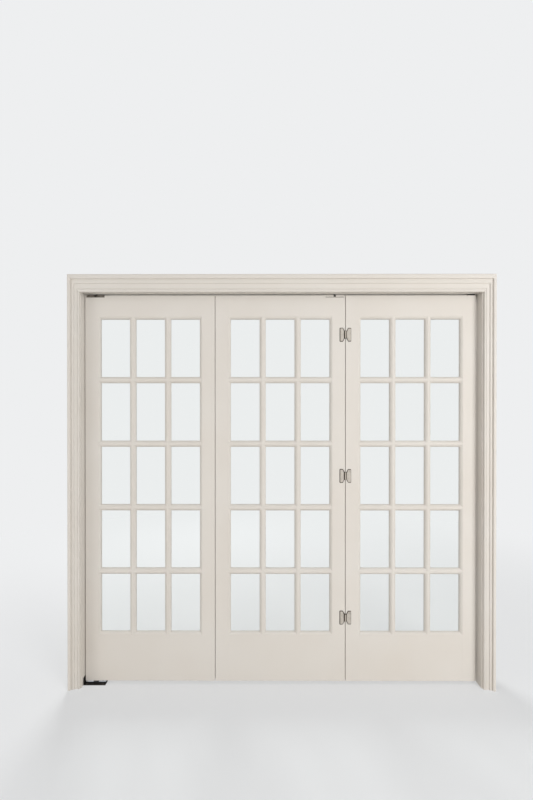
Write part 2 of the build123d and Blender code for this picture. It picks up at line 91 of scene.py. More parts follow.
# Width that the casing's section is drawn to, the rise of its outer band, and how deep the old paint
# lies in its quirk and in its groove
CASING_LEG = 58 * MM
BAND_RISE = 4 * MM
QUIRK_PAINT = 3.2 * MM
GROOVE_PAINT = 4.6 * MM

# The dark line round a wing's bright face, by side (-1 left wing, 1 right wing): partly grime where the
# paint stops short of the metal and partly painted shade, so it is wider on the left wing, which the light
# reaches less.
# The values are how far it reaches out of the wing, how far in at the outer edge and at the ends, and where
# the face begins beside the barrel, past a strip of painted shadow. It is drawn about twice as wide as it
# is, to show at all in a picture of the whole frame.
DIRT_SHADE_LINE_OUT = {-1: 1.8 * MM, 1: 0.8 * MM}
DIRT_SHADE_LINE_IN = {-1: 2.1 * MM, 1: 0.8 * MM}
DIRT_SHADE_LINE_ENDS = {-1: 2.1 * MM, 1: 2.8 * MM}
FACE_BEGINS = {-1: 8.8 * MM, 1: 7.4 * MM}

# The photograph's camera: place in metres, turn to the right and up in degrees, and the shift of its
# picture in pixels of a picture 800 high
CAMERA_PLACE = (-0.093, -2.221, 1.433)
CAMERA_YAW = -0.14
CAMERA_PITCH = -0.2
PHOTO_HEIGHT = 800
PHOTO_SHIFT_X = 4.1
PHOTO_SHIFT_Y = 13.0

# Where the wide soft light comes from, as a direction of length 1
FRONT_LIGHT_FROM = (0.3, -0.954, 0.0)

# Lamps: place, target and side of the square
LAMPS = {
    "key": ((2.7, -3.7, 1.8), (0.5, 0.0, 1.3), 2.0),
    "fill": ((-4.6, -2.8, 1.3), (0.0, 0.0, 1.1), 2.0),
    "back": ((-1.4, 4.3, 3.4), (0.0, 0.0, 1.1), 2.4),
}

# The stage's round floor, the distances from the origin between which it goes over into the backdrop,
# and how far it has gone over already at the nearer one
FLOOR_RADIUS = 40.0
FLOOR_CORNERS = 96
FLOOR_FADE = (1.2, 4.0)
FLOOR_FADED_NEAR = 0.45

# How far a top plate's lip runs past the plate at each end, and the plate's thickness
LIP_PAST_PLATE = 5 * MM
TOP_PLATE = 2 * MM

# Rounding of a hinge wing where it meets the barrel's end
NECK_ROUND = 1.2 * MM

# Leaf screws: from the wing's outer edge, between two on a wing, from the ends of the pivot and guide
# plates and of the catch plate, and how much further round each one stops than the one before
SCREW_IN_WING = 9 * MM
SCREW_SPREAD = 25 * MM
SCREW_IN_PLATE = 12 * MM
SCREW_IN_CATCH = 8 * MM
SCREW_TURN = 2.4

# Finishes that are made already, by name
MADE_FINISHES = {}


def linear(code):
    """An sRGB hex value as linear red, green and blue, by the standard's two-part curve."""
    srgb = np.array([int(code[i:i + 2], 16) for i in (1, 3, 5)]) / 255
    low = srgb / 12.92
    high = ((srgb + 0.055) / 1.055) ** 2.4
    return tuple(float(c) for c in np.where(srgb <= 0.04045, low, high))


def along(node, axis):
    """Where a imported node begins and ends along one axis."""
    low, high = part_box(node)
    return low[axis], high[axis]


def length_property(name, description, default, low, high):
    """A length that a user can change, with its default and its limits in millimetres."""
    return FloatProperty(name=name, description=description, unit="LENGTH",
                         default=default * MM, min=low * MM, max=high * MM)


def colour_property(name, description, code):
    """A colour that a user can change, with a finish's hex value as its default."""
    return FloatVectorProperty(name=name, description=description, subtype="COLOR", size=3,
                               default=linear(code), min=0.0, max=1.0)


class JoinerySizes(bpy.types.PropertyGroup):
    """Sizes of the leaves' mouldings and soft edges."""

    arris: length_property("Arris", "How far the leaves' outer long edges are rounded", 1, 0.2, 4)
    crisp: length_property(
        "Crisp edge", "Rounding of the moulding's own edges under the paint", 0.4, 0.1, 1)
    bar_width: length_property(
        "Bar width", "Glazing bar between the edges of the glass in view", 33, 26, 60)
    moulding_width: length_property(
        "Moulding width", "Moulded edge round a pane, across the face", 12.5, 6, 13)
    moulding_depth: length_property(
        "Moulding depth", "Moulded edge round a pane, from the face to its lowest line", 12, 4, 13)
    quirk: length_property("Quirk", "Small step where the moulding leaves the face", 1.2, 0.3, 3)
    ledge: length_property("Ledge", "Flat at the bottom of the quirk", 1, 0.3, 3)
    crown: length_property("Crown", "How far the moulding's slope swells above a straight line", 1.4, 0, 3)
    rabbet: length_property("Rabbet", "Seat of the glass and its beads, across the face", 11, 6, 12)
    bead_nose: length_property("Bead nose", "Upright foot of a glazing bead on the glass", 2.5, 1, 6)


class CasingSizes(bpy.types.PropertyGroup):
    """Sizes of the casing's section, across a leg and away from the wall."""

    bead_width: length_property("Bead width", "Round bead at the casing's inner edge", 11, 4, 14)
    bead_edge: length_property("Bead edge", "Thickness of the casing at its inner edge", 5, 2, 9)
    bead_rise: length_property("Bead rise", "Height of the bead over that edge", 7, 2, 9)
    quirk: length_property("Quirk", "Groove between the bead and the flat", 1.5, 0.5, 3)
    flat_width: length_property("Flat width", "Flat between the bead and the roll", 15, 5, 18)
    flat_thickness: length_property("Flat thickness", "Thickness of the casing at the flat", 10, 6, 18)
    roll_width: length_property("Roll width", "Wide round between the flat and the outer band", 13, 5, 16)
    roll_rise: length_property("Roll rise", "Height of that round over the flat", 6, 2, 9)
    groove: length_property("Groove", "Groove between the roll and the outer band", 2, 0.5, 4)
    band_edge: length_property("Band edge", "Thickness of the outer band at its edges", 20, 12, 21)


class HardwareSizes(bpy.types.PropertyGroup):
    """Sizes of the butterfly hinges and their screws."""

    wing_width: length_property(
        "Wing width", "Hinge wing from the seam's middle to its outer edge", 29, 20, 40)
    wing_height: length_property("Wing height", "Full height of a hinge wing", 70, 50, 100)
    wing_shoulder: length_property(
        "Wing shoulder", "Where the wing reaches its full height, from the seam's middle", 14, 9, 18)
    wing_neck: length_property(
        "Wing neck", "Where the wing is as low as the barrel, from the seam's middle", 7, 4, 8)
    wing_corner: length_property("Wing corner", "Radius of the wing's corners", 2.5, 0.5, 5)
    plate: length_property("Plate", "Thickness of a hinge wing", 2, 1, 3)
    barrel: length_property("Barrel", "Length of the hinge's five knuckles together", 38, 30, 60)
    axis_out: length_property("Axis", "Distance of the hinge's axis from the leaf's face", 4.5, 3, 7)
    knuckle: length_property("Knuckle", "Radius of a knuckle", 3.5, 2, 5)
    knuckle_gap: length_property("Knuckle gap", "Play between two knuckles", 0.3, 0.1, 1)
    pin_head: length_property("Pin head", "Radius of the button on each end of a hinge pin", 3.2, 2, 5)
    pin_head_height: length_property("Pin head height", "Height of that button", 1.8, 1, 4)
    middle_drop: length_property("Middle hinge", "Middle hinge under the leaf's top edge", 950, 700, 1200)
    screw_head: length_property("Screw head", "Radius of a countersunk screw head", 3.6, 2, 5)
    screw_shank: length_property("Screw shank", "Radius of a screw's shank", 1.75, 1, 3)
    screw_length: length_property("Screw length", "Length of a screw under its face", 16, 8, 30)
    screw_proud: length_property("Screw proud", "How far a head's dome stands over its plate", 0.35, 0.1, 1)


class FinishColours(bpy.types.PropertyGroup):
    """Colours of the paint, the metals and the stage."""

    paint: colour_property("Paint", "Off-white enamel on all the wood", PAINT)
    paint_aged: colour_property("Aged paint", "The same enamel where it has yellowed a little", PAINT_AGED)
    nickel: colour_property("Nickel", "Satin nickel of the butterfly hinges", NICKEL)
    floor: colour_property("Floor", "Pale floor under the doors", PALE_FLOOR)
    backdrop: colour_property("Backdrop", "Even colour all round", PALE_BACKDROP)
    floor_bounce: colour_property("Floor bounce", "Floor as the doors are lit by it", FLOOR_BOUNCE)


class StageSettings(bpy.types.PropertyGroup):
    """Lamps and camera."""

    key_power: FloatProperty(
        name="Key power", description="Large soft lamp in front, to the right",
        default=120.0, min=0.0, max=1000.0, subtype="POWER")
    fill_power: FloatProperty(
        name="Fill power", description="Large weak lamp in front, to the left",
        default=62.0, min=0.0, max=1000.0, subtype="POWER")
    back_power: FloatProperty(
        name="Back power", description="Large soft lamp behind the doors",
        default=200.0, min=0.0, max=1000.0, subtype="POWER")
    ambient: FloatProperty(
        name="Ambient", description="Strength of the even light from all round",
        default=0.35, min=0.0, max=2.0)
    front_light: FloatProperty(
        name="Front light", description="Strength of the wide soft light from the front",
        default=0.58, min=0.0, max=3.0)
    focal_length: FloatProperty(
        name="Focal length", description="Lens on the 36 mm long side of the picture",
        default=18.83, min=10.0, max=50.0, unit="CAMERA")


def add_node(tree, kind, settings=None, values=None, links=None):
    """Adds one node: settings are its own properties, values its sockets' constants, links its inputs."""
    node = tree.nodes.new(kind)
    for name, value in (settings or {}).items():
        setattr(node, name, value)
    for name, value in (values or {}).items():
        node.inputs[name].default_value = value
    for name, source in (links or {}).items():
        tree.links.new(source, node.inputs[name])
    return node


def start_material(name):
    """An empty node material, with the piece's own coordinates in metres for its patterns."""
    made = bpy.data.materials.new(name)
    made.use_nodes = True
    made.node_tree.nodes.clear()
    place = add_node(made.node_tree, "ShaderNodeTexCoord").outputs["Object"]
    return made, made.node_tree, place


def rgba(colour):
    """A colour with full cover."""
    return (*colour, 1.0)


def brushed_enamel(name, grain_axis, colours):
    """Alkyd enamel laid on by brush: an even warm white with a low sheen. The bristles leave fine
    furrows along the wood, laps leave broad shallow ones, and the white yellows a little in patches."""
    bristle_across, bristle_long = 1.6 * MM, 130 * MM
    lap_across, lap_long = 22 * MM, 700 * MM
    patch = 380 * MM
    made, tree, place = start_material(name)
    bristle_size = np.full(3, bristle_across)
    bristle_size[grain_axis] = bristle_long
    lap_size = np.full(3, lap_across)
    lap_size[grain_axis] = lap_long
    bristle_place = add_node(tree, "ShaderNodeMapping", {"vector_type": "POINT"},
                             {"Scale": tuple(1 / bristle_size)}, {"Vector": place})
    bristles = add_node(tree, "ShaderNodeTexNoise", values={"Scale": 1.0, "Detail": 3.0, "Roughness": 0.55},
                        links={"Vector": bristle_place.outputs[0]})
    lap_place = add_node(tree, "ShaderNodeMapping", {"vector_type": "POINT"},
                         {"Scale": tuple(1 / lap_size)}, {"Vector": place})
    laps = add_node(tree, "ShaderNodeTexNoise", values={"Scale": 1.0, "Detail": 1.0},
                    links={"Vector": lap_place.outputs[0]})
    patches = add_node(tree, "ShaderNodeTexNoise", values={"Scale": 1 / patch, "Detail": 2.0},
                       links={"Vector": place})
    tone = add_node(tree, "ShaderNodeMapRange",
                    values={"From Min": 0.35, "From Max": 0.75, "To Min": 0.0, "To Max": 0.45},
                    links={"Value": patches.outputs["Fac"]})
    colour = add_node(tree, "ShaderNodeMix", {"data_type": "RGBA"},
                      {"A": rgba(colours.paint), "B": rgba(colours.paint_aged)},
                      {"Factor": tone.outputs[0]})
    sheen = add_node(tree, "ShaderNodeMapRange",
                     values={"From Min": 0.3, "From Max": 0.7, "To Min": 0.36, "To Max": 0.46},
                     links={"Value": laps.outputs["Fac"]})
    broad = add_node(tree, "ShaderNodeBump", values={"Strength": 0.3, "Distance": 0.02 * MM},
                     links={"Height": laps.outputs["Fac"]})
    fine = add_node(tree, "ShaderNodeBump", values={"Strength": 0.5, "Distance": 0.02 * MM},
                    links={"Height": bristles.outputs["Fac"], "Normal": broad.outputs[0]})
    shader = add_node(tree, "ShaderNodeBsdfPrincipled", values={"IOR": 1.5},
                      links={"Base Color": colour.outputs["Result"], "Roughness": sheen.outputs[0],
                             "Normal": fine.outputs[0]})
    add_node(tree, "ShaderNodeOutputMaterial", links={"Surface": shader.outputs[0]})
    return made


def float_glass():
    """Clear float glass: colourless face on, faintly green in its depth, with the long shallow waves
    that make reflections in an old pane swim."""
    wave = 90 * MM
    made, tree, place = start_material("clear float glass")
    waves = add_node(tree, "ShaderNodeTexNoise", values={"Scale": 1 / wave, "Detail": 0.0},
                     links={"Vector": place})
    swim = add_node(tree, "ShaderNodeBump", values={"Strength": 0.35, "Distance": 0.6 * MM},
                    links={"Height": waves.outputs["Fac"]})
    glass = add_node(tree, "ShaderNodeBsdfPrincipled",
                     values={"Base Color": rgba(linear(GLASS)), "Roughness": 0.0, "IOR": 1.52,
                             "Transmission Weight": 1.0},
                     links={"Normal": swim.outputs[0]})
    clear = add_node(tree, "ShaderNodeBsdfTransparent", values={"Color": rgba(linear(GLASS))})
    ray = add_node(tree, "ShaderNodeLightPath")
    mixed = add_node(tree, "ShaderNodeMixShader",
                     links={0: ray.outputs["Is Shadow Ray"], 1: glass.outputs[0], 2: clear.outputs[0]})
    add_node(tree, "ShaderNodeOutputMaterial", links={"Surface": mixed.outputs[0]})
    return made


def satin_nickel(colours):
    """Satin nickel plate on pressed steel: a warm grey metal, brushed along the barrel, that blurs what
    it mirrors, with duller finger marks."""
    scratch_across, scratch_long, smudge = 0.5 * MM, 25 * MM, 16 * MM
    made, tree, place = start_material("satin nickel plate")
    scratch_place = add_node(tree, "ShaderNodeMapping", {"vector_type": "POINT"},
                             {"Scale": (1 / scratch_across, 1 / scratch_across, 1 / scratch_long)},
                             {"Vector": place})
    scratches = add_node(tree, "ShaderNodeTexNoise", values={"Scale": 1.0, "Detail": 2.0},
                         links={"Vector": scratch_place.outputs[0]})
    smudges = add_node(tree, "ShaderNodeTexNoise", values={"Scale": 1 / smudge, "Detail": 3.0},
                       links={"Vector": place})
    dulled = add_node(tree, "ShaderNodeMapRange",
                      values={"From Min": 0.45, "From Max": 0.75, "To Min": 0.0, "To Max": 0.6},
                      links={"Value": smudges.outputs["Fac"]})
    colour = add_node(tree, "ShaderNodeMix", {"data_type": "RGBA"},
                      {"A": rgba(colours.nickel), "B": rgba(linear(NICKEL_DULL))},
                      {"Factor": dulled.outputs[0]})
    rough = add_node(tree, "ShaderNodeMapRange", values={"To Min": 0.22, "To Max": 0.4},
                     links={"Value": smudges.outputs["Fac"]})
    bump = add_node(tree, "ShaderNodeBump", values={"Strength": 0.3, "Distance": 0.02 * MM},
                    links={"Height": scratches.outputs["Fac"]})
    shader = add_node(tree, "ShaderNodeBsdfPrincipled", values={"Metallic": 1.0},
                      links={"Base Color": colour.outputs["Result"], "Roughness": rough.outputs[0],
                             "Normal": bump.outputs[0]})
    add_node(tree, "ShaderNodeOutputMaterial", links={"Surface": shader.outputs[0]})
    return made


def bright_zinc():
    """Zinc-plated steel, passivated clear: a cool bright metal with the faint mottled bloom of the bath."""
    bloom, grit = 7 * MM, 0.8 * MM
    made, tree, place = start_material("bright zinc plate")
    mottle = add_node(tree, "ShaderNodeTexVoronoi", values={"Scale": 1 / bloom, "Randomness": 1.0},
                      links={"Vector": place})
    pits = add_node(tree, "ShaderNodeTexNoise", values={"Scale": 1 / grit, "Detail": 2.0},
                    links={"Vector": place})
    colour = add_node(tree, "ShaderNodeMix", {"data_type": "RGBA"},
                      {"A": rgba(linear(ZINC)), "B": rgba(linear(ZINC_DULL))},
                      {"Factor": mottle.outputs["Distance"]})
    rough = add_node(tree, "ShaderNodeMapRange", values={"To Min": 0.18, "To Max": 0.36},
                     links={"Value": mottle.outputs["Distance"]})
    bump = add_node(tree, "ShaderNodeBump", values={"Strength": 0.25, "Distance": 0.02 * MM},
                    links={"Height": pits.outputs["Fac"]})
    shader = add_node(tree, "ShaderNodeBsdfPrincipled", values={"Metallic": 1.0},
                      links={"Base Color": colour.outputs["Result"], "Roughness": rough.outputs[0],
                             "Normal": bump.outputs[0]})
    add_node(tree, "ShaderNodeOutputMaterial", links={"Surface": shader.outputs[0]})
    return made


def black_oxide_steel(name, worn_code, rub, rubbed_from):
    """Steel sheet, black oxide and oil: nearly black, half matt, rubbed to brown-grey in patches. On
    leaf 1's top plate most of the oxide is gone, and pale steel and old paint show between the rest."""
    grit, fringe = 0.7 * MM, 0.2
    made, tree, place = start_material(name)
    rubs = add_node(tree, "ShaderNodeTexNoise", values={"Scale": 1 / rub, "Detail": 6.0, "Roughness": 0.65},
                    links={"Vector": place})
    worn = add_node(tree, "ShaderNodeMapRange",
                    values={"From Min": rubbed_from, "From Max": rubbed_from + fringe, "To Min": 0.0,
                            "To Max": 0.8},
                    links={"Value": rubs.outputs["Fac"]})
    colour = add_node(tree, "ShaderNodeMix", {"data_type": "RGBA"},
                      {"A": rgba(linear(BLACK_OXIDE)), "B": rgba(linear(worn_code))},
                      {"Factor": worn.outputs[0]})
    pits = add_node(tree, "ShaderNodeTexNoise", values={"Scale": 1 / grit, "Detail": 2.0},
                    links={"Vector": place})
    bump = add_node(tree, "ShaderNodeBump", values={"Strength": 0.4, "Distance": 0.03 * MM},
                    links={"Height": pits.outputs["Fac"]})
    shader = add_node(tree, "ShaderNodeBsdfPrincipled", values={"Metallic": 0.6, "Roughness": 0.46},
                      links={"Base Color": colour.outputs["Result"], "Normal": bump.outputs[0]})
    add_node(tree, "ShaderNodeOutputMaterial", links={"Surface": shader.outputs[0]})
    return made


def strip_enamel():
    """Enamel baked on rolled strip: an even warm white, smoother than brushed paint, whose sheen breaks
    up in the fine dimples of a sprayed coat."""
    dimple, handling = 2.2 * MM, 60 * MM
    made, tree, place = start_material("baked enamel on strip")
    dimples = add_node(tree, "ShaderNodeTexNoise", values={"Scale": 1 / dimple, "Detail": 1.0},
                       links={"Vector": place})
    marks = add_node(tree, "ShaderNodeTexNoise", values={"Scale": 1 / handling, "Detail": 3.0},
                     links={"Vector": place})
    rough = add_node(tree, "ShaderNodeMapRange", values={"To Min": 0.24, "To Max": 0.4},
                     links={"Value": marks.outputs["Fac"]})
    bump = add_node(tree, "ShaderNodeBump", values={"Strength": 0.3, "Distance": 0.02 * MM},
                    links={"Height": dimples.outputs["Fac"]})
    shader = add_node(tree, "ShaderNodeBsdfPrincipled",
                      values={"Base Color": rgba(linear(STRIP_ENAMEL)), "IOR": 1.5},
                      links={"Roughness": rough.outputs[0], "Normal": bump.outputs[0]})
    add_node(tree, "ShaderNodeOutputMaterial", links={"Surface": shader.outputs[0]})
    return made


def moulded_plastic(name, code, spark, roughness):
    """Moulded plastic: one even colour through and through, with the fine matt spark of the tool."""
    uneven = 0.06
    made, tree, place = start_material(name)
    sparks = add_node(tree, "ShaderNodeTexNoise", values={"Scale": 1 / spark, "Detail": 2.0},
                      links={"Vector": place})
    rough = add_node(tree, "ShaderNodeMapRange",
                     values={"To Min": roughness - uneven, "To Max": roughness + uneven},
                     links={"Value": sparks.outputs["Fac"]})
    bump = add_node(tree, "ShaderNodeBump", values={"Strength": 0.4, "Distance": 0.03 * MM},
                    links={"Height": sparks.outputs["Fac"]})
    shader = add_node(tree, "ShaderNodeBsdfPrincipled",
                      values={"Base Color": rgba(linear(code)), "IOR": 1.53},
                      links={"Roughness": rough.outputs[0], "Normal": bump.outputs[0]})
    add_node(tree, "ShaderNodeOutputMaterial", links={"Surface": shader.outputs[0]})
    return made


def grime_and_painted_shade():
    """Household dust and old polish, dried in a crack: matt brown-black. The same finish also paints shade:
    the dark outline round the hinge wings, the strip beside each barrel, the line under the top plates'
    lips and the screws' crosses.
    """
    crumb = 2 * MM
    made, tree, place = start_material("dried dirt")
    crumbs = add_node(tree, "ShaderNodeTexNoise", values={"Scale": 1 / crumb, "Detail": 3.0},
                      links={"Vector": place})
    colour = add_node(tree, "ShaderNodeMix", {"data_type": "RGBA"},
                      {"A": rgba(linear(GRIME_AND_SHADE)), "B": rgba(linear(GRIME_AND_SHADE_DRY))},
                      {"Factor": crumbs.outputs["Fac"]})
    bump = add_node(tree, "ShaderNodeBump", values={"Strength": 0.5, "Distance": 0.08 * MM},
                    links={"Height": crumbs.outputs["Fac"]})
    shader = add_node(tree, "ShaderNodeBsdfPrincipled", values={"Roughness": 0.9, "IOR": 1.45},
                      links={"Base Color": colour.outputs["Result"], "Normal": bump.outputs[0]})
    add_node(tree, "ShaderNodeOutputMaterial", links={"Surface": shader.outputs[0]})
    return made


def beech_dowel():
    """Fluted beech: a pinkish tan wood with short darker flecks along the grain."""
    fleck_long, fleck_across = 9 * MM, 0.9 * MM
    made, tree, place = start_material("beech")
    fleck_place = add_node(tree, "ShaderNodeMapping", {"vector_type": "POINT"},
                           {"Scale": (1 / fleck_long, 1 / fleck_across, 1 / fleck_across)},
                           {"Vector": place})
    flecks = add_node(tree, "ShaderNodeTexNoise", values={"Scale": 1.0, "Detail": 3.0},
                      links={"Vector": fleck_place.outputs[0]})
    colour = add_node(tree, "ShaderNodeMix", {"data_type": "RGBA"},
                      {"A": rgba(linear(BEECH)), "B": rgba(linear(BEECH_DARK))},
                      {"Factor": flecks.outputs["Fac"]})
    bump = add_node(tree, "ShaderNodeBump", values={"Strength": 0.3, "Distance": 0.05 * MM},
                    links={"Height": flecks.outputs["Fac"]})
    shader = add_node(tree, "ShaderNodeBsdfPrincipled", values={"Roughness": 0.6, "IOR": 1.45},
                      links={"Base Color": colour.outputs["Result"], "Normal": bump.outputs[0]})
    add_node(tree, "ShaderNodeOutputMaterial", links={"Surface": shader.outputs[0]})
    return made


def finish(name):
    """The material of one finish, made the first time that it is asked for."""
    colours = bpy.context.scene.door_colours
    makers = {
        "enamel upright": lambda: brushed_enamel("enamel brushed upright", Z, colours),
        "enamel level": lambda: brushed_enamel("enamel brushed level", X, colours),
        "glass": float_glass,
        "nickel": lambda: satin_nickel(colours),
        "zinc": bright_zinc,
        "black steel": lambda: black_oxide_steel(
            "black oxide steel", BLACK_OXIDE_WORN, rub=18 * MM, rubbed_from=0.52),
        "rubbed steel": lambda: black_oxide_steel(
            "rubbed black steel", BARE_STEEL, rub=9 * MM, rubbed_from=0.36),
        "strip enamel": strip_enamel,
        "abs": lambda: moulded_plastic("black ABS", BLACK_ABS, spark=0.6 * MM, roughness=0.45),
        "nylon": lambda: moulded_plastic("white nylon", NYLON, spark=1.2 * MM, roughness=0.38),
        "beech": beech_dowel,
        "dirt": grime_and_painted_shade,
    }
    if name not in MADE_FINISHES:
        MADE_FINISHES[name] = makers[name]()
    return MADE_FINISHES[name]


def wear_finish(nodes, name):
    """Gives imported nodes, whose shape is right as it is, a finish in place of their plain one."""
    for node in nodes:
        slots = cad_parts[node].data.materials
        slots.clear()
        slots.append(finish(name))


def eased(corners, radii, steps=4):
    """A closed outline with soft corners. Each corner p becomes a short parabola from a point a on
    one side of it to a point b on the other, each a radius away: (1-t)^2 a + 2t(1-t) p + t^2 b."""
    p = np.asarray(corners, float)
    r = np.broadcast_to(np.asarray(radii, float), len(p))[:, None]
    back = np.roll(p, 1, axis=0) - p
    ahead = np.roll(p, -1, axis=0) - p
    a = p + r * back / np.linalg.norm(back, axis=1, keepdims=True)
    b = p + r * ahead / np.linalg.norm(ahead, axis=1, keepdims=True)
    t = np.linspace(0, 1, steps + 1)[None, :, None]
    curves = (1 - t) ** 2 * a[:, None] + 2 * t * (1 - t) * p[:, None] + t ** 2 * b[:, None]
    points = curves.reshape(-1, 2)
    same_point = 0.001 * MM
    apart = np.linalg.norm(points - np.roll(points, 1, axis=0), axis=1) > same_point
    return points[apart]


def drawn_in(outline, distance):
    """An outline moved inwards: each point goes back along the normal of the chord of its two
    neighbours, turned to the inside by the sign of the outline's area."""
    chord = np.roll(outline, -1, axis=0) - np.roll(outline, 1, axis=0)
    normal = np.stack([chord[:, 1], -chord[:, 0]], axis=1)
    normal /= np.linalg.norm(normal, axis=1, keepdims=True)
    following = np.roll(outline, -1, axis=0)
    area = np.sum(outline[:, 0] * following[:, 1] - following[:, 0] * outline[:, 1])
    return outline - np.sign(area) * distance * normal


def shell(rings):
    """A closed skin over rings of points: four-sided faces join point i of ring k to its neighbours,
    with i running round, and one flat face closes each end."""
    rings = np.asarray(rings, float)
    count, size = rings.shape[:2]
    index = np.arange(count * size).reshape(count, size)
    onward = np.roll(index, -1, axis=1)
    sides = np.stack([index[:-1], onward[:-1], onward[1:], index[1:]], axis=-1).reshape(-1, 4)
    return rings.reshape(-1, 3), sides.tolist() + [index[0, ::-1].tolist(), index[-1].tolist()]


def carried(section, direction, start, end):
    """A section in space carried straight along a direction. Ring 0 is section + start * direction
    and ring 1 is section + end * direction; start and end may differ from point to point."""
    direction = np.asarray(direction, float)
    first = np.broadcast_to(np.asarray(start, float), len(section))[:, None]
    last = np.broadcast_to(np.asarray(end, float), len(section))[:, None]
    return shell([section + first * direction, section + last * direction])


def turned(profile, segments=32):
    """A profile of (radius, height) turned about the Z axis: x = r cos a, y = r sin a, z = h."""
    r, h = np.asarray(profile, float).T
    angle = np.linspace(0, 2 * math.pi, segments, endpoint=False)
    return np.stack([np.outer(r, np.cos(angle)), np.outer(r, np.sin(angle)),
                     np.repeat(h[:, None], segments, axis=1)], axis=-1)


def placed(rings, origin, across, up, out):
    """Rings drawn with X across, Y up and Z out, set at an origin with those three directions."""
    basis = np.asarray([across, up, out], float)
    return rings @ basis + np.asarray(origin, float)


def new_piece(name, parts, body, replaces):
    """Makes one object from (shell, finish) parts: all points and faces in one mesh, each part with its own
    material or with one for each of its faces, faces outwards, soft edges smooth and hard ones sharp."""
    points, faces, worn = [], [], []
    offset = 0
    for (part_points, part_faces), part_finish in parts:
        points.append(part_points)
        faces += [[i + offset for i in face] for face in part_faces]
        worn += [part_finish] * len(part_faces) if isinstance(part_finish, str) else part_finish
        offset += len(part_points)
    finishes = sorted(set(worn))
    picks = [finishes.index(one) for one in worn]
    mesh = bpy.data.meshes.new(name)
    mesh.from_pydata(np.concatenate(points), [], faces)
    for finish_name in finishes:
        mesh.materials.append(finish(finish_name))
    mesh.polygons.foreach_set("material_index", picks)
    turner = bmesh.new()
    turner.from_mesh(mesh)
    bmesh.ops.recalc_face_normals(turner, faces=turner.faces)
    turner.to_mesh(mesh)
    turner.free()
    mesh.shade_smooth()
    mesh.set_sharp_from_angle(angle=SMOOTH_ANGLE)
    piece = bpy.data.objects.new(name, mesh)
    bpy.context.scene.collection.objects.link(piece)
    weighted = piece.modifiers.new("even faces", "WEIGHTED_NORMAL")
    weighted.keep_sharp = True
    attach(piece, body)
    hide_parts(*replaces)


class Leaf:
    """Places of one leaf's members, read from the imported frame."""

    def __init__(self, name, sizes):
        self.left, self.stile_end = along(name + "_stile_left", X)
        self.right = along(name + "_stile_right", X)[1]
        self.front, self.back = along(name + "_stile_left", Y)
        self.bottom, self.top = along(name + "_stile_left", Z)
        self.sill = along(name + "_bottom_rail", Z)[1]
        self.lintel = along(name + "_top_rail", Z)[0]
        self.glass_front, self.glass_back = along(name + "_glass_panes", Y)
        self.stile_width = self.stile_end - self.left
        self.field_right = self.right - self.stile_width
        self.pane_width = self.share(self.field_right - self.stile_end, PANE_COLUMNS, sizes)
        self.pane_height = self.share(self.lintel - self.sill, PANE_ROWS, sizes)
        self.bar_xs = self.bar_starts(self.stile_end, self.pane_width, PANE_COLUMNS, sizes)
        self.bar_zs = self.bar_starts(self.sill, self.pane_height, PANE_ROWS, sizes)

    @staticmethod
    def share(field, count, sizes):
        """One pane's part of a field: the field less the bars, divided by the number of panes."""
        return (field - (count - 1) * sizes.bar_width) / count

    @staticmethod
    def bar_starts(field_start, pane, count, sizes):
        """Where each bar begins: one pane after the field's start, then every pane and bar."""
        return field_start + pane + np.arange(count - 1) * (pane + sizes.bar_width)

    def pane_centres(self, sizes):
        """Middles of all panes: start of the field plus half a pane plus whole steps."""
        x = self.stile_end + self.pane_width / 2 + np.arange(PANE_COLUMNS) * (
            self.pane_width + sizes.bar_width)
        z = self.sill + self.pane_height / 2 + np.arange(PANE_ROWS) * (self.pane_height + sizes.bar_width)
        return [(a, b) for b in z for a in x]


def plain_side(leaf, radius):
    """Outer long edge of a stile or rail, front to back: (inset, depth, rounding)."""
    return [(0.0, leaf.front, radius), (0.0, leaf.back, radius)]


def moulded_side(leaf, sizes):
    """Edge by the glass, front to back: (inset from the sight line, depth, rounding). The slope is a
    parabola from the quirk's ledge to the sight line that swells outwards by the crown."""
    ledge = np.array([sizes.moulding_width - sizes.ledge, leaf.front + sizes.quirk])
    sight = np.array([0.0, leaf.front + sizes.moulding_depth])
    chord = sight - ledge
    outward = np.array([chord[1], -chord[0]]) / np.linalg.norm(chord)
    pull = (ledge + sight) / 2 - 2 * sizes.crown * outward
    steps = 8
    t = np.linspace(0, 1, steps + 1)[:, None]
    slope = (1 - t) ** 2 * ledge + 2 * t * (1 - t) * pull + t ** 2 * sight
    crisp = sizes.crisp
    quirk = [(sizes.moulding_width, leaf.front, crisp), (sizes.moulding_width, ledge[1], 0.0)]
    swept = np.insert(slope[:-1], 2, 0.0, axis=1)
    seat = [(0.0, sight[1], crisp), (0.0, leaf.glass_front, crisp / 2),
            (sizes.rabbet, leaf.glass_front, 0.0), (sizes.rabbet, leaf.back, crisp)]
    return np.vstack([quirk, swept, seat])


def member_section(width, near_side, far_side):
    """Closed section of a member as (across, depth): down its far side, then up its near side."""
    far = np.array(far_side)
    far[:, 0] = width - far[:, 0]
    corners = np.vstack([far, np.array(near_side)[::-1]])
    return eased(corners[:, :2], corners[:, 2])


def upright(section, x, towards):
    """The section laid flat at height 0: X = x + towards * across, Y = depth."""
    return np.stack([x + towards * section[:, 0], section[:, 1], np.zeros(len(section))], axis=1)


def level(section, z, towards):
    """The section stood on edge at X = 0: Y = depth, Z = z + towards * across."""
    return np.stack([np.zeros(len(section)), section[:, 1], z + towards * section[:, 0]], axis=1)


def reach(section, leaf, sizes):
    """How far each point of a member's end runs past a sight line to meet the crossing member: to its
    flat in front of the glass, and to the wall of its rabbet behind."""
    rounding_error = 0.01 * MM
    behind = section[:, 1] > leaf.glass_front + rounding_error
    return np.where(behind, sizes.rabbet, sizes.moulding_width)


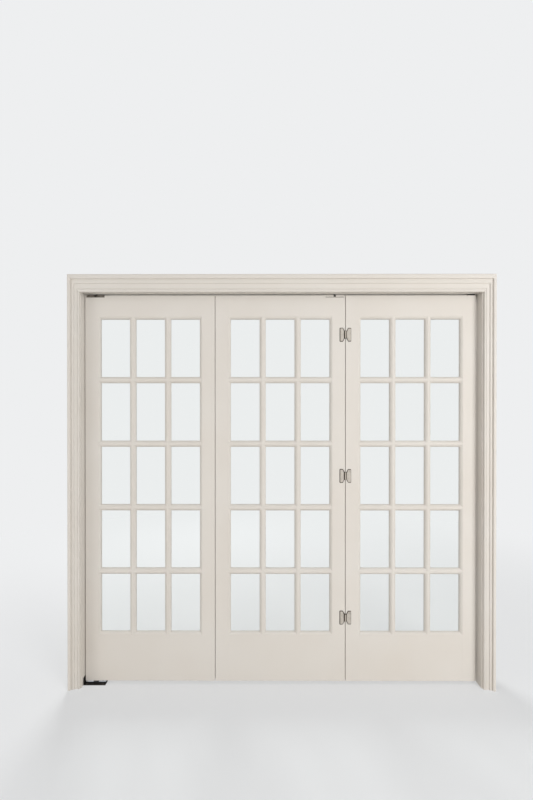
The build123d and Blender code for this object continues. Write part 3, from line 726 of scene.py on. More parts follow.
class DOORS_OT_stiles_and_rails(bpy.types.Operator):
    """Make the stiles and rails, each a moulded section carried along its length"""

    bl_idname = "doors.stiles_and_rails"
    bl_label = "Stiles and rails"

    def execute(self, context):
        sizes = context.scene.door_joinery
        for name in LEAVES:
            leaf = Leaf(name, sizes)
            plain = plain_side(leaf, sizes.arris)
            moulded = moulded_side(leaf, sizes)
            stile = member_section(leaf.stile_width, plain, moulded)
            for side, x, towards in (("left", leaf.left, 1), ("right", leaf.right, -1)):
                skin = carried(upright(stile, x, towards), (0, 0, 1), leaf.bottom, leaf.top)
                node = "%s_stile_%s" % (name, side)
                new_piece(node + "_painted", [(skin, "enamel upright")], name, [node])
            for rail, z, towards, height in (("bottom_rail", leaf.bottom, 1, leaf.sill - leaf.bottom),
                                             ("top_rail", leaf.top, -1, leaf.top - leaf.lintel)):
                section = member_section(height, plain, moulded)
                past = reach(section, leaf, sizes)
                skin = carried(level(section, z, towards), (1, 0, 0), leaf.stile_end - past,
                               leaf.field_right + past)
                node = "%s_%s" % (name, rail)
                new_piece(node + "_painted", [(skin, "enamel level")], name, [node])
        return {"FINISHED"}


class DOORS_OT_glazing_bars(bpy.types.Operator):
    """Make the glazing bars, upright ones right through and level ones between them"""

    bl_idname = "doors.glazing_bars"
    bl_label = "Glazing bars"

    def execute(self, context):
        sizes = context.scene.door_joinery
        for name in LEAVES:
            leaf = Leaf(name, sizes)
            moulded = moulded_side(leaf, sizes)
            section = member_section(sizes.bar_width, moulded, moulded)
            past = reach(section, leaf, sizes)
            parts = []
            for x in leaf.bar_xs:
                skin = carried(upright(section, x, 1), (0, 0, 1), leaf.sill - past, leaf.lintel + past)
                parts.append((skin, "enamel upright"))
            starts = np.append(leaf.stile_end, leaf.bar_xs + sizes.bar_width)
            for z in leaf.bar_zs:
                for x in starts:
                    skin = carried(level(section, z, 1), (1, 0, 0), x - past, x + leaf.pane_width + past)
                    parts.append((skin, "enamel level"))
            node = name + "_glazing_bars"
            new_piece(node + "_painted", parts, name, [node])
        return {"FINISHED"}


def bead_section(leaf, sizes):
    """Glazing bead as (distance in from the rabbet's wall, depth): a foot on the glass and a rounded
    slope back to the leaf's face."""
    crisp, soft = 0.2 * MM, 1.2 * MM
    corners = [(0.0, leaf.glass_back), (sizes.rabbet, leaf.glass_back),
               (sizes.rabbet, leaf.glass_back + sizes.bead_nose), (sizes.bead_nose, leaf.back),
               (0.0, leaf.back)]
    return eased(corners, [crisp, crisp, soft, soft, crisp])


def mitred_strips(section, x, z, half_x, half_z):
    """Four strips round a rectangle. On each side a point stands its own distance in from the wall,
    and its two ends are cut back by that same distance, which is a mitre of 45 degrees."""
    u = section[:, 0]
    strips = []
    for side in (-1, 1):
        stood = upright(section, x + side * half_x, -side)
        strips.append((carried(stood, (0, 0, 1), z - half_z + u, z + half_z - u), "enamel upright"))
        laid = level(section, z + side * half_z, -side)
        strips.append((carried(laid, (1, 0, 0), x - half_x + u, x + half_x - u), "enamel level"))
    return strips


class DOORS_OT_glazing_beads(bpy.types.Operator):
    """Make the mitred beads that hold each pane from the back"""

    bl_idname = "doors.glazing_beads"
    bl_label = "Glazing beads"

    def execute(self, context):
        sizes = context.scene.door_joinery
        for name in LEAVES:
            leaf = Leaf(name, sizes)
            section = bead_section(leaf, sizes)
            half_x = leaf.pane_width / 2 + sizes.rabbet
            half_z = leaf.pane_height / 2 + sizes.rabbet
            parts = []
            for x, z in leaf.pane_centres(sizes):
                parts += mitred_strips(section, x, z, half_x, half_z)
            node = name + "_glazing_beads"
            new_piece(node + "_painted", parts, name, [node])
        return {"FINISHED"}


class DOORS_OT_glass(bpy.types.Operator):
    """Give the glass panes their finish"""

    bl_idname = "doors.glass"
    bl_label = "Glass panes"

    def execute(self, context):
        wear_finish([name + "_glass_panes" for name in LEAVES], "glass")
        return {"FINISHED"}


def swell(start, width, base, rise, steps=14):
    """Half an ellipse on the casing's face: (start + w/2 (1 - cos a), base + rise sin a)."""
    a = np.linspace(0, math.pi, steps + 1)
    return np.stack([start + width / 2 * (1 - np.cos(a)), base + rise * np.sin(a), 0 * a], axis=1)


def casing_section(width, sizes):
    """Casing as (out from its inner edge, away from the wall): a bead, a quirk, a flat, a roll, a
    groove and an outer band, drawn to its sizes and then stretched to the width asked for. Old paint
    lies in the two grooves, so between the bead and the band the height is at least the paint's."""
    edge, soft = 0.6 * MM, 0.7 * MM
    flat_start = sizes.bead_width + sizes.quirk
    roll_start = flat_start + sizes.flat_width
    band_start = roll_start + sizes.roll_width + sizes.groove
    corners = np.vstack([
        (0.0, 0.0, 0.0),
        swell(0.0, sizes.bead_width, sizes.bead_edge, sizes.bead_rise),
        (flat_start, sizes.bead_edge, soft),
        (flat_start, sizes.flat_thickness, edge),
        swell(roll_start, sizes.roll_width, sizes.flat_thickness, sizes.roll_rise),
        (band_start, sizes.flat_thickness, soft),
        swell(band_start, CASING_LEG - band_start, sizes.band_edge, BAND_RISE),
        (CASING_LEG, 0.0, edge),
    ])
    section = eased(corners[:, :2], corners[:, 2])
    across, height = section.T
    quirk = (across > sizes.bead_width / 2) & (across < flat_start + edge)
    groove = (across > roll_start + sizes.roll_width / 2) & (across < band_start + edge)
    paint = np.where(quirk, sizes.bead_edge + QUIRK_PAINT, 0.0)
    paint = np.where(groove, sizes.flat_thickness + GROOVE_PAINT, paint)
    return np.stack([across * width / CASING_LEG, np.maximum(height, paint)], axis=1)


class DOORS_OT_casing(bpy.types.Operator):
    """Make the mitred casings on the front and on the back"""

    bl_idname = "doors.casing"
    bl_label = "Casing"

    def execute(self, context):
        sizes = context.scene.door_casing
        for face, towards in (("front", -1), ("back", 1)):
            outer, inner = along("casing_%s_right" % face, X)[::-1]
            low, high = along("casing_%s_head" % face, Z)
            wall = along("casing_%s_right" % face, Y)[0 if towards > 0 else 1]
            leg = casing_section(outer - inner, sizes)
            head = casing_section(high - low, sizes)
            slant = (high - low) / (outer - inner)
            for side, sign in (("left", -1), ("right", 1)):
                stood = np.stack([sign * (inner + leg[:, 0]), wall + towards * leg[:, 1],
                                  np.zeros(len(leg))], axis=1)
                skin = carried(stood, (0, 0, 1), 0.0, low + slant * leg[:, 0])
                node = "casing_%s_%s" % (face, side)
                new_piece(node + "_painted", [(skin, "enamel upright")], "frame", [node])
            laid = np.stack([np.zeros(len(head)), wall + towards * head[:, 1], low + head[:, 0]], axis=1)
            ends = inner + head[:, 0] / slant
            node = "casing_%s_head" % face
            new_piece(node + "_painted", [(carried(laid, (1, 0, 0), -ends, ends), "enamel level")],
                      "frame", [node])
        return {"FINISHED"}


class DOORS_OT_jambs_and_track(bpy.types.Operator):
    """Give the jambs, the track and what is fixed in it their finishes"""

    bl_idname = "doors.jambs_and_track"
    bl_label = "Jambs and track"

    def execute(self, context):
        wear_finish(["jamb_left", "jamb_right"], "enamel upright")
        wear_finish(["head_jamb"], "enamel level")
        wear_finish(["top_track"], "strip enamel")
        wear_finish(["track_screws", "catch_screws"], "zinc")
        wear_finish(["top_pivot_socket"], "nylon")
        wear_finish(["catch_magnet"], "abs")
        return {"FINISHED"}


def knuckle_spans(sizes):
    """Lower and upper ends of the five knuckles, which share the barrel's length evenly."""
    ends = np.linspace(-sizes.barrel / 2, sizes.barrel / 2, KNUCKLES + 1)
    return np.stack([ends[:-1], ends[1:]], axis=1)


def wing_outline(sizes, first_knuckle):
    """Outline of the right wing as (across, up): a butterfly's wing that steps in to make room for
    the other wing's knuckles."""
    half, neck = sizes.wing_height / 2, sizes.barrel / 2
    gap = sizes.knuckle_gap / 2
    notch = sizes.knuckle + sizes.knuckle_gap
    crisp = 0.25 * MM
    corners = [(sizes.wing_neck, -neck, NECK_ROUND), (sizes.wing_shoulder, -half, sizes.wing_corner),
               (sizes.wing_width, -half, sizes.wing_corner), (sizes.wing_width, half, sizes.wing_corner),
               (sizes.wing_shoulder, half, sizes.wing_corner), (sizes.wing_neck, neck, NECK_ROUND)]
    for index, (low, high) in reversed(list(enumerate(knuckle_spans(sizes)))):
        own = index % 2 == first_knuckle
        x, play = (0.0, gap) if own else (notch, -gap)
        top = neck if index == KNUCKLES - 1 else high - play
        bottom = -neck if index == 0 else low + play
        corners += [(x, top, crisp), (x, bottom, crisp)]
    corners = np.array(corners)
    return eased(corners[:, :2], corners[:, 2])


def wing_margin(sizes, margin):
    """Outline of the right wing without its notches, moved outwards by a margin."""
    half, neck = sizes.wing_height / 2, sizes.barrel / 2
    notch, crisp = sizes.knuckle + sizes.knuckle_gap, 0.3 * MM
    corners = [(notch, -neck), (sizes.wing_neck, -neck), (sizes.wing_shoulder, -half),
               (sizes.wing_width, -half), (sizes.wing_width, half), (sizes.wing_shoulder, half),
               (sizes.wing_neck, neck), (notch, neck)]
    radii = [crisp, NECK_ROUND] + 4 * [sizes.wing_corner] + [NECK_ROUND, crisp]
    return drawn_in(eased(corners, radii), -margin)


def wing_face(sizes, side):
    """Outline of the bright face of a wing, drawn as a right wing: it is the wing's outline less the
    dark line, and its slanted edges keep about the slant of the wing's own. Moving a slanted edge in by
    the line's width moves its ends by that width times two factors, up and across."""
    ends, begins = DIRT_SHADE_LINE_ENDS[side], FACE_BEGINS[side]
    half, reach = sizes.wing_height / 2, sizes.wing_width - DIRT_SHADE_LINE_IN[side]
    slant = np.interp(begins, [sizes.wing_neck, sizes.wing_shoulder], [sizes.barrel / 2, half])
    slant_upright, slant_across = 1.8, 0.4
    at_barrel = slant - slant_upright * ends
    shoulder, half = sizes.wing_shoulder + slant_across * ends, half - ends
    corners = [(begins, -at_barrel), (shoulder, -half), (reach, -half), (reach, half), (shoulder, half),
               (begins, at_barrel)]
    beside_barrel, at_shoulder, outer = 0.6 * MM, 1.5 * MM, 2.2 * MM
    return eased(corners, [beside_barrel, at_shoulder, outer, outer, at_shoulder, beside_barrel])


def quarter_angles():
    """Angles of the points on a small quarter round: four, evenly from 0 to a right angle."""
    return np.linspace(0, math.pi / 2, 4)


def plate_shell(outline, thickness, ease):
    """A plate on Z = 0: its outline goes straight up, and near the top each ring is drawn in by
    ease (1 - cos a) and raised to thickness - ease (1 - sin a), a quarter round."""
    rings = [np.column_stack([outline, np.zeros(len(outline))])]
    for a in quarter_angles():
        ring = drawn_in(outline, ease * (1 - math.cos(a)))
        rings.append(np.column_stack([ring, np.full(len(ring), thickness - ease * (1 - math.sin(a)))]))
    return np.array(rings)


def eased_bar(radius, low, high, ease):
    """Profile of a round bar with rounded ends, as (radius, height): towards each end the radius is
    r - ease (1 - sin a), at ease (1 - cos a) from that end."""
    a = quarter_angles()
    r = radius - ease + ease * np.sin(a)
    lift = ease * (1 - np.cos(a))
    return np.concatenate([np.stack([r, low + lift], axis=1), np.stack([r, high - lift], axis=1)[::-1]])


def wing_parts(sizes, side, first_knuckle, origin, facing):
    """One hinge wing: a dark outline round it, grime and painted shade, a plate with soft dark edges, the
    bright face that is left free on it, a strip of painted shadow beside the barrel, and its knuckles round
    the axis.
    facing is -1 on the front and 1 on the back, where the wing is turned half round."""
    across, up, out = (side * -facing, 0, 0), (0, 0, 1), (0, facing, 0)
    outline_top, outline_ease = 0.25 * MM, 0.05 * MM
    plate_top, plate_ease = sizes.plate - 0.1 * MM, 0.4 * MM
    face_top, face_ease, face_lift = sizes.plate + 0.1 * MM, 0.15 * MM, 0.05 * MM
    strip_low, strip_high, tucked = sizes.plate - 0.2 * MM, sizes.plate + 1.2 * MM, 0.1 * MM
    knuckle_ease = 0.35 * MM
    grime_and_shade_outline = plate_shell(wing_margin(sizes, DIRT_SHADE_LINE_OUT[side]), outline_top, outline_ease)
    plate = plate_shell(wing_outline(sizes, first_knuckle), plate_top, plate_ease)
    face = plate_shell(wing_face(sizes, side), face_top, face_ease) + (0, 0, face_lift)
    # A strip of painted shadow beside the barrel, where the barrel shades the wing, in the dark finish.
    beside = np.array([(sizes.knuckle - MM, strip_low), (FACE_BEGINS[side], strip_low),
                       (FACE_BEGINS[side], face_top), (sizes.knuckle - tucked, strip_high)])
    strip = np.stack([origin[0] + side * -facing * beside[:, 0], origin[1] + facing * beside[:, 1],
                      np.full(len(beside), origin[2])], axis=1)
    parts = [(shell(placed(rings, origin, across, up, out)), finish)
             for rings, finish in ((grime_and_shade_outline, "dirt"), (plate, "dirt"), (face, "nickel"))]
    parts.append((carried(strip, (0, 0, 1), -sizes.barrel / 2, sizes.barrel / 2), "dirt"))
    for index, (low, high) in enumerate(knuckle_spans(sizes)):
        if index % 2 == first_knuckle:
            gap = sizes.knuckle_gap / 2
            profile = eased_bar(sizes.knuckle, low + gap, high - gap, knuckle_ease)
            centre = np.asarray(origin) + sizes.axis_out * np.asarray(out)
            parts.append((shell(turned(profile) + centre), "nickel"))
    return parts


def hinge_heights(sizes):
    """Middles of a seam's three hinges: the pins' ends give the outer two."""
    low, high = along("hinge_23_pins", Z)
    half = sizes.barrel / 2 + sizes.pin_head_height
    leaf_top = along("leaf_2_stile_left", Z)[1]
    return [low + half, leaf_top - sizes.middle_drop, high - half]


def seams():
    """The two seams as (number, X, Y of the face that carries the hinges, facing, left and right leaf).
    The hinge between leaves 1 and 2 is on the back, the other one on the front."""
    front, back = along("leaf_1_stile_left", Y)
    right_ends = [along(leaf + "_stile_right", X)[1] for leaf in LEAVES]
    left_ends = [along(leaf + "_stile_left", X)[0] for leaf in LEAVES]
    return [("12", (right_ends[0] + left_ends[1]) / 2, back, 1, "leaf_1", "leaf_2"),
            ("23", (right_ends[1] + left_ends[2]) / 2, front, -1, "leaf_2", "leaf_3")]


class DOORS_OT_hinges(bpy.types.Operator):
    """Make the butterfly hinges, wings and pins"""

    bl_idname = "doors.hinges"
    bl_label = "Butterfly hinges"

    def execute(self, context):
        sizes = context.scene.door_hardware
        for number, x, y, facing, left_leaf, right_leaf in seams():
            for leaf, hand in ((left_leaf, -1), (right_leaf, 1)):
                side = hand * -facing
                first_knuckle = 0 if side < 0 else 1
                parts = []
                for z in hinge_heights(sizes):
                    parts += wing_parts(sizes, side, first_knuckle, (x, y, z), facing)
                node = "hinge_%s_wings_%s" % (number, leaf)
                new_piece(node + "_plated", parts, leaf, [node])
            reach_out, roundness = sizes.barrel / 2, 0.9
            tip = eased_bar(sizes.pin_head, reach_out, reach_out + sizes.pin_head_height,
                            roundness * sizes.pin_head_height / 2)
            pins = []
            for z in hinge_heights(sizes):
                for end in (-1, 1):
                    rings = turned(tip * (1, end)) + (x, y + facing * sizes.axis_out, z)
                    # Both ends of each pin take the same dark brown-black as the lines round the wings.
                    pins.append((shell(rings), "dirt"))
            node = "hinge_%s_pins" % number
            new_piece(node + "_plated", pins, "leaf_2", [node])
        return {"FINISHED"}


def screw_rings(sizes):
    """A cross-recessed screw along Z, face up at Z = 0. The head's top is a shallow dome,
    proud (1 - (r/R)^2), less the cross: a pit as deep as the product of two soft steps, one across
    the nearer arm and one along it. Round it lies a thin dark ring, grime and painted shade, and below are
    the countersunk cone, the shank and the point."""
    pit, arm, half_cross, soft = 0.9 * MM, 0.45 * MM, 1.9 * MM, 0.25 * MM
    dome_rings, dome_lift, head_edge = 12, 0.12 * MM, 0.06 * MM
    ring_width, ring_top, ring_foot = 0.6 * MM, 0.04 * MM, -0.1 * MM
    cone_foot, point_length, tip = -1.5 * MM, 4 * MM, 0.2 * MM
    head, shank, length = sizes.screw_head, sizes.screw_shank, sizes.screw_length
    rim = head + ring_width
    radii = np.linspace(0.08, 0.97, dome_rings) * head
    top = sizes.screw_proud * (1 - (radii / head) ** 2) + dome_lift
    profile = np.concatenate([
        np.stack([radii, top], axis=1),
        [(head, head_edge), (rim, ring_top), (rim, ring_foot), (shank, cone_foot),
         (shank, -length + point_length), (tip, -length)],
    ])
    rings = turned(profile, segments=40)
    x, y = np.abs(rings[:dome_rings, :, 0]), np.abs(rings[:dome_rings, :, 1])
    across = np.clip((arm - np.minimum(x, y)) / soft + 0.5, 0, 1)
    lengthways = np.clip((half_cross - np.maximum(x, y)) / soft + 0.5, 0, 1)
    rings[:dome_rings, :, 2] -= pit * across * lengthways
    return rings


def screw_finishes(rings, sizes):
    """The dark finish, grime and painted shade, for the faces in the cross and for the thin line round the
    head,
    nickel elsewhere: a face is in the cross where its corners' mean height is below the head's edge."""
    corners = np.stack([rings[:-1], np.roll(rings, -1, axis=1)[:-1], rings[1:],
                        np.roll(rings, -1, axis=1)[1:]])
    height = corners[..., 2].mean(axis=0)
    radius = np.linalg.norm(corners[..., :2], axis=-1).mean(axis=0)
    in_head, pit_from, pit_to = radius < sizes.screw_head, -0.05 * MM, -MM
    grime_and_shade_faces = (in_head & (height < pit_from) & (height > pit_to)) | (
        (radius > sizes.screw_head) & (height > 0))
    return np.append(np.where(grime_and_shade_faces, "dirt", "nickel").ravel(), ["dirt", "nickel"]).tolist()


def turned_about(rings, angle):
    """Rings turned about Z, x' = x cos a - y sin a and y' = x sin a + y cos a, as no two screws stop at
    the same angle."""
    c, s = math.cos(angle), math.sin(angle)
    return rings @ np.array([[c, s, 0], [-s, c, 0], [0, 0, 1]])


class DOORS_OT_screws(bpy.types.Operator):
    """Make the screws of the hinges and of the plates on the leaves' edges"""

    bl_idname = "doors.screws"
    bl_label = "Leaf screws"

    def execute(self, context):
        sizes = context.scene.door_hardware
        rings = screw_rings(sizes)
        worn = screw_finishes(rings, sizes)
        places = {leaf: [] for leaf in LEAVES}
        for number, x, y, facing, left_leaf, right_leaf in seams():
            for leaf, hand in ((left_leaf, -1), (right_leaf, 1)):
                for z in hinge_heights(sizes):
                    for lift in (-SCREW_SPREAD, 0.0, SCREW_SPREAD):
                        origin = (x + hand * (sizes.wing_width - SCREW_IN_WING),
                                  y + facing * sizes.plate, z + lift)
                        places[leaf].append((origin, (-facing, 0, 0), (0, 0, 1), (0, facing, 0)))
        behind_lip = SCREW_IN_PLATE + LIP_PAST_PLATE
        for leaf, plate, ends, out in (("leaf_1", "top_pivot_plate", behind_lip, 1),
                                       ("leaf_1", "bottom_pivot_plate", SCREW_IN_PLATE, -1),
                                       ("leaf_2", "guide_plate", behind_lip, 1),
                                       ("leaf_3", "catch_plate", SCREW_IN_CATCH, 1)):
            left, right = along(plate, X)
            z = along(plate, Z)[1 if out > 0 else 0]
            for x in (left + ends, right - ends):
                places[leaf].append(((x, 0.0, z), (1, 0, 0), (0, out, 0), (0, 0, out)))
        for leaf, spots in places.items():
            parts = []
            for count, (origin, across, up, out) in enumerate(spots):
                stopped = turned_about(rings, SCREW_TURN * count)
                parts.append((shell(placed(stopped, origin, across, up, out)), worn))
            node = leaf + "_screws"
            new_piece(node + "_plated", parts, leaf, [node])
        return {"FINISHED"}


def strip_along(corners, ease, start, end):
    """A bar along X with softened edges, from its corners as (Y, Z)."""
    section = eased(corners, ease)
    stood = np.column_stack([np.zeros(len(section)), section])
    return carried(stood, (1, 0, 0), start, end)


def channel_parts():
    """Pivot channel: a floor strip and walls that lean in, broken off where the socket stands."""
    wall, lean, ease = 1.5 * MM, 2.4 * MM, 0.3 * MM
    low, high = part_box("pivot_channel")
    block_left, block_right = along("bottom_pivot_socket", X)
    floor_top = low[Z] + wall
    parts = [(strip_along([(low[Y], low[Z]), (high[Y], low[Z]), (high[Y], floor_top), (low[Y], floor_top)],
                          ease, low[X], high[X]), "zinc")]
    for y, inward in ((low[Y], 1), (high[Y], -1)):
        foot, head = y, y + inward * lean
        corners = [(foot, low[Z] + ease), (foot + inward * wall, low[Z] + ease),
                   (head + inward * wall, high[Z]), (head, high[Z])]
        for start, end in ((low[X], block_left - ease), (block_right + ease, high[X])):
            parts.append((strip_along(corners, ease, start, end), "zinc"))
    return parts


def bracket_parts(plate, front, finish_name):
    """A top plate, its longer lip bent down over the leaf's front, a dark stop tab in the middle of the
    lip and a painted shadow under the lip: a thin dark strip along its lower edge."""
    low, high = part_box(plate)
    soft, line, line_soft, line_out, tuck = 0.2 * MM, 2.2 * MM, 0.03 * MM, 0.15 * MM, 0.1 * MM
    tab_out, tab_half, tab_rise = 0.8 * MM, 6 * MM, 0.5 * MM
    start, end = low[X] + LIP_PAST_PLATE, high[X] - LIP_PAST_PLATE
    middle = (start + end) / 2
    seat, inside, outside = high[Z] - TOP_PLATE, front + tuck, front - line_out
    flat = [(low[Y] + soft, seat), (high[Y], seat), (high[Y], high[Z]), (low[Y] + soft, high[Z])]
    lip = [(low[Y], low[Z]), (inside, low[Z]), (inside, high[Z]), (low[Y], high[Z])]
    tab = [(low[Y] - tab_out, low[Z] + MM), (inside, low[Z] + MM),
           (inside, high[Z] + tab_rise), (low[Y] - tab_out, high[Z] + tab_rise)]
    # Painted shadow of the lip: a thin strip in the dark finish under its lower edge.
    dark = [(outside, low[Z] - line), (inside, low[Z] - line), (inside, low[Z] + tuck),
            (outside, low[Z] + tuck)]
    return [(strip_along(flat, soft, start, end), finish_name),
            (strip_along(lip, soft, low[X], high[X]), finish_name),
            (strip_along(tab, soft, middle - tab_half, middle + tab_half), "black steel"),
            (strip_along(dark, line_soft, low[X] - MM, high[X] + MM), "dirt")]


class DOORS_OT_pivots_and_guide(bpy.types.Operator):
    """Make the guide wheel, the brackets and the channel, and give the pivots their finishes"""

    bl_idname = "doors.pivots_and_guide"
    bl_label = "Pivots and guide"

    def execute(self, context):
        low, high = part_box("guide_wheel")
        radius = (high[X] - low[X]) / 2
        centre = ((low[X] + high[X]) / 2, (low[Y] + high[Y]) / 2, 0.0)
        tyre_round = 2 * MM
        profile = eased_bar(radius, low[Z], high[Z], tyre_round)
        tyre = shell(turned(profile, segments=64) + centre)
        new_piece("guide_wheel_turned", [(tyre, "nylon")], "guide_wheel", ["guide_wheel"])
        new_piece("pivot_channel_folded", channel_parts(), "frame", ["pivot_channel"])
        front = along("leaf_1_stile_left", Y)[0]
        for plate, finish_name, body, slot_name in (
                ("top_pivot_plate", "rubbed steel", "leaf_1", "dark_steel"),
                ("guide_plate", "enamel level", "leaf_2", "painted_steel")):
            parts = bracket_parts(plate, front, finish_name)
            new_piece(plate + "_bent", parts, body, [plate])
        wear_finish(["bottom_pivot_plate", "bottom_pivot_pin", "catch_plate"], "zinc")
        wear_finish(["floor_plate", "floor_plate_screws", "top_pivot_pin", "guide_pin"], "black steel")
        wear_finish(["bottom_pivot_socket"], "abs")
        wear_finish([name + "_rail_dowels" for name in LEAVES], "beech")
        return {"FINISHED"}


def soft_lamp(name, place, target, size, power):
    """A square area lamp at a place, turned to a target. It lights the doors and is itself not seen, in
    a pane or through one."""
    data = bpy.data.lights.new(name, "AREA")
    data.shape = "SQUARE"
    data.size = size
    data.energy = power
    lamp = bpy.data.objects.new(name, data)
    bpy.context.scene.collection.objects.link(lamp)
    lamp.visible_camera = False
    lamp.visible_glossy = False
    lamp.visible_transmission = False
    aim(lamp, place, target)


def aim(thing, place, target):
    """Puts a lamp or camera at a place and turns its -Z to the target, with Z up."""
    out = np.asarray(place, float) - np.asarray(target, float)
    out /= np.linalg.norm(out)
    across = np.cross((0, 0, 1), out)
    across /= np.linalg.norm(across)
    up = np.cross(out, across)
    turn = np.eye(4)
    turn[:3] = np.stack([across, up, out, place], axis=1)
    thing.matrix_world = Matrix(turn)


def seen_rays(tree):
    """1 for rays that show the surroundings: those of the camera, of mirrors and through glass."""
    ray = add_node(tree, "ShaderNodeLightPath")
    direct = add_node(tree, "ShaderNodeMath", {"operation": "MAXIMUM"},
                      links={0: ray.outputs["Is Camera Ray"], 1: ray.outputs["Is Glossy Ray"]})
    either = add_node(tree, "ShaderNodeMath", {"operation": "MAXIMUM"},
                      links={0: direct.outputs[0], 1: ray.outputs["Is Transmission Ray"]})
    return either.outputs[0]


def light_from_front(tree, stage):
    """Strength of the light from a direction d all round: ambient + front_light (max(0, d . f))^2, with
    f pointing level to the front and a little to the right. It has no edge, so it casts no hard shadow."""
    direction = add_node(tree, "ShaderNodeTexCoord").outputs["Generated"]
    towards = add_node(tree, "ShaderNodeVectorMath", {"operation": "DOT_PRODUCT"},
                       {1: FRONT_LIGHT_FROM}, {0: direction})
    ahead = add_node(tree, "ShaderNodeMath", {"operation": "MAXIMUM"}, {1: 0.0},
                     {0: towards.outputs["Value"]})
    squared = add_node(tree, "ShaderNodeMath", {"operation": "POWER"}, {1: 2.0}, {0: ahead.outputs[0]})
    total = add_node(tree, "ShaderNodeMath", {"operation": "MULTIPLY_ADD"},
                     {1: stage.front_light, 2: stage.ambient}, {0: squared.outputs[0]})
    return total.outputs[0]


def pale_floor(colours):
    """Matt painted floor: it keeps soft shadows near the doors, and further off it goes over into the
    even colour of the backdrop. The doors are lit by it as if it were a little warmer and darker."""
    made, tree, place = start_material("matt floor paint")
    distance = add_node(tree, "ShaderNodeVectorMath", {"operation": "LENGTH"}, links={0: place})
    away = add_node(tree, "ShaderNodeMapRange", {"interpolation_type": "SMOOTHSTEP"},
                    {"From Min": FLOOR_FADE[0], "From Max": FLOOR_FADE[1],
                     "To Min": FLOOR_FADED_NEAR, "To Max": 1.0},
                    {"Value": distance.outputs["Value"]})
    both = add_node(tree, "ShaderNodeMath", {"operation": "MULTIPLY"},
                    links={0: away.outputs[0], 1: seen_rays(tree)})
    bounce = add_node(tree, "ShaderNodeLightPath")
    tone = add_node(tree, "ShaderNodeMix", {"data_type": "RGBA"},
                    {"A": rgba(colours.floor), "B": rgba(colours.floor_bounce)},
                    {"Factor": bounce.outputs["Is Diffuse Ray"]})
    lit = add_node(tree, "ShaderNodeBsdfDiffuse", links={"Color": tone.outputs["Result"]})
    even = add_node(tree, "ShaderNodeEmission", values={"Color": rgba(colours.backdrop), "Strength": 1.0})
    mixed = add_node(tree, "ShaderNodeMixShader", links={0: both.outputs[0], 1: lit.outputs[0],
                                                         2: even.outputs[0]})
    add_node(tree, "ShaderNodeOutputMaterial", links={"Surface": mixed.outputs[0]})
    return made


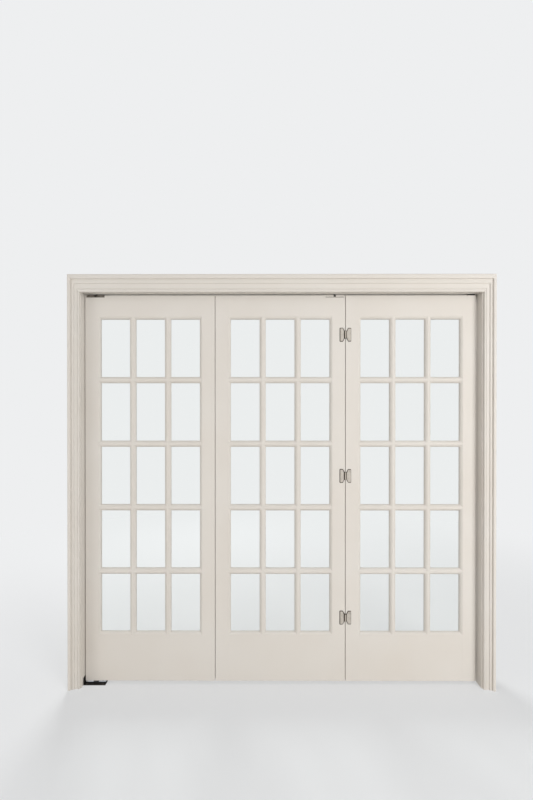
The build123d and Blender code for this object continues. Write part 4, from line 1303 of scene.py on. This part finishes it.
class DOORS_OT_stage(bpy.types.Operator):
    """Set the floor, the even backdrop, the lamps and the camera"""

    bl_idname = "doors.stage"
    bl_label = "Floor, lamps and camera"

    def execute(self, context):
        scene = context.scene
        colours, stage = scene.door_colours, scene.door_stage
        angle = np.linspace(0, 2 * math.pi, FLOOR_CORNERS, endpoint=False)
        rim = FLOOR_RADIUS * np.stack([np.cos(angle), np.sin(angle), 0 * angle], axis=1)
        mesh = bpy.data.meshes.new("floor")
        mesh.from_pydata(rim, [], [list(range(FLOOR_CORNERS))])
        mesh.materials.append(pale_floor(colours))
        floor = bpy.data.objects.new("floor", mesh)
        scene.collection.objects.link(floor)

        world = bpy.data.worlds.new("even light")
        world.use_nodes = True
        tree = world.node_tree
        tree.nodes.clear()
        soft = add_node(tree, "ShaderNodeBackground", values={"Color": (1.0, 1.0, 1.0, 1.0)},
                        links={"Strength": light_from_front(tree, stage)})
        shown = add_node(tree, "ShaderNodeBackground",
                         values={"Color": rgba(colours.backdrop), "Strength": 1.0})
        mixed = add_node(tree, "ShaderNodeMixShader", links={0: seen_rays(tree), 1: soft.outputs[0],
                                                             2: shown.outputs[0]})
        add_node(tree, "ShaderNodeOutputWorld", links={"Surface": mixed.outputs[0]})
        scene.world = world
        scene.view_settings.view_transform = "Standard"

        for name, (place, target, size) in LAMPS.items():
            soft_lamp(name, place, target, size, getattr(stage, name + "_power"))

        data = bpy.data.cameras.new("camera")
        data.lens = stage.focal_length
        data.sensor_width = 36.0
        data.shift_x = PHOTO_SHIFT_X / PHOTO_HEIGHT
        data.shift_y = PHOTO_SHIFT_Y / PHOTO_HEIGHT
        camera = bpy.data.objects.new("camera", data)
        scene.collection.objects.link(camera)
        yaw, pitch = math.radians(CAMERA_YAW), math.radians(CAMERA_PITCH)
        place = np.array(CAMERA_PLACE)
        ahead = np.array([math.sin(yaw) * math.cos(pitch), math.cos(yaw) * math.cos(pitch),
                          math.sin(pitch)])
        aim(camera, place, place + ahead)
        scene.camera = camera
        return {"FINISHED"}


OPERATORS = (
    DOORS_OT_stiles_and_rails,
    DOORS_OT_glazing_bars,
    DOORS_OT_glazing_beads,
    DOORS_OT_glass,
    DOORS_OT_casing,
    DOORS_OT_jambs_and_track,
    DOORS_OT_hinges,
    DOORS_OT_screws,
    DOORS_OT_pivots_and_guide,
    DOORS_OT_stage,
)


class DOORS_PT_panel(bpy.types.Panel):
    """Lists the doors' pieces in the order in which they are made."""

    bl_label = "Folding french doors"
    bl_idname = "DOORS_PT_panel"
    bl_space_type = "VIEW_3D"
    bl_region_type = "UI"
    bl_category = "Doors"

    def draw(self, context):
        for operator in OPERATORS:
            self.layout.operator(operator.bl_idname)
        for group in PROPERTY_GROUPS:
            box = self.layout.box()
            settings = getattr(context.scene, group)
            for name in settings.__annotations__:
                box.prop(settings, name)


PROPERTY_GROUPS = {
    "door_joinery": JoinerySizes,
    "door_casing": CasingSizes,
    "door_hardware": HardwareSizes,
    "door_colours": FinishColours,
    "door_stage": StageSettings,
}


def register():
    for group in PROPERTY_GROUPS.values():
        bpy.utils.register_class(group)
    for name, group in PROPERTY_GROUPS.items():
        setattr(bpy.types.Scene, name, PointerProperty(type=group))
    for operator in OPERATORS:
        bpy.utils.register_class(operator)
    bpy.utils.register_class(DOORS_PT_panel)


def unregister():
    bpy.utils.unregister_class(DOORS_PT_panel)
    for operator in reversed(OPERATORS):
        bpy.utils.unregister_class(operator)
    for name, group in PROPERTY_GROUPS.items():
        delattr(bpy.types.Scene, name)
        bpy.utils.unregister_class(group)


def main():
    """Makes every piece and the stage."""
    register()
    bpy.ops.doors.stiles_and_rails()
    bpy.ops.doors.glazing_bars()
    bpy.ops.doors.glazing_beads()
    bpy.ops.doors.glass()
    bpy.ops.doors.casing()
    bpy.ops.doors.jambs_and_track()
    bpy.ops.doors.hinges()
    bpy.ops.doors.screws()
    bpy.ops.doors.pivots_and_guide()
    bpy.ops.doors.stage()


if __name__ == "__main__":
    main()
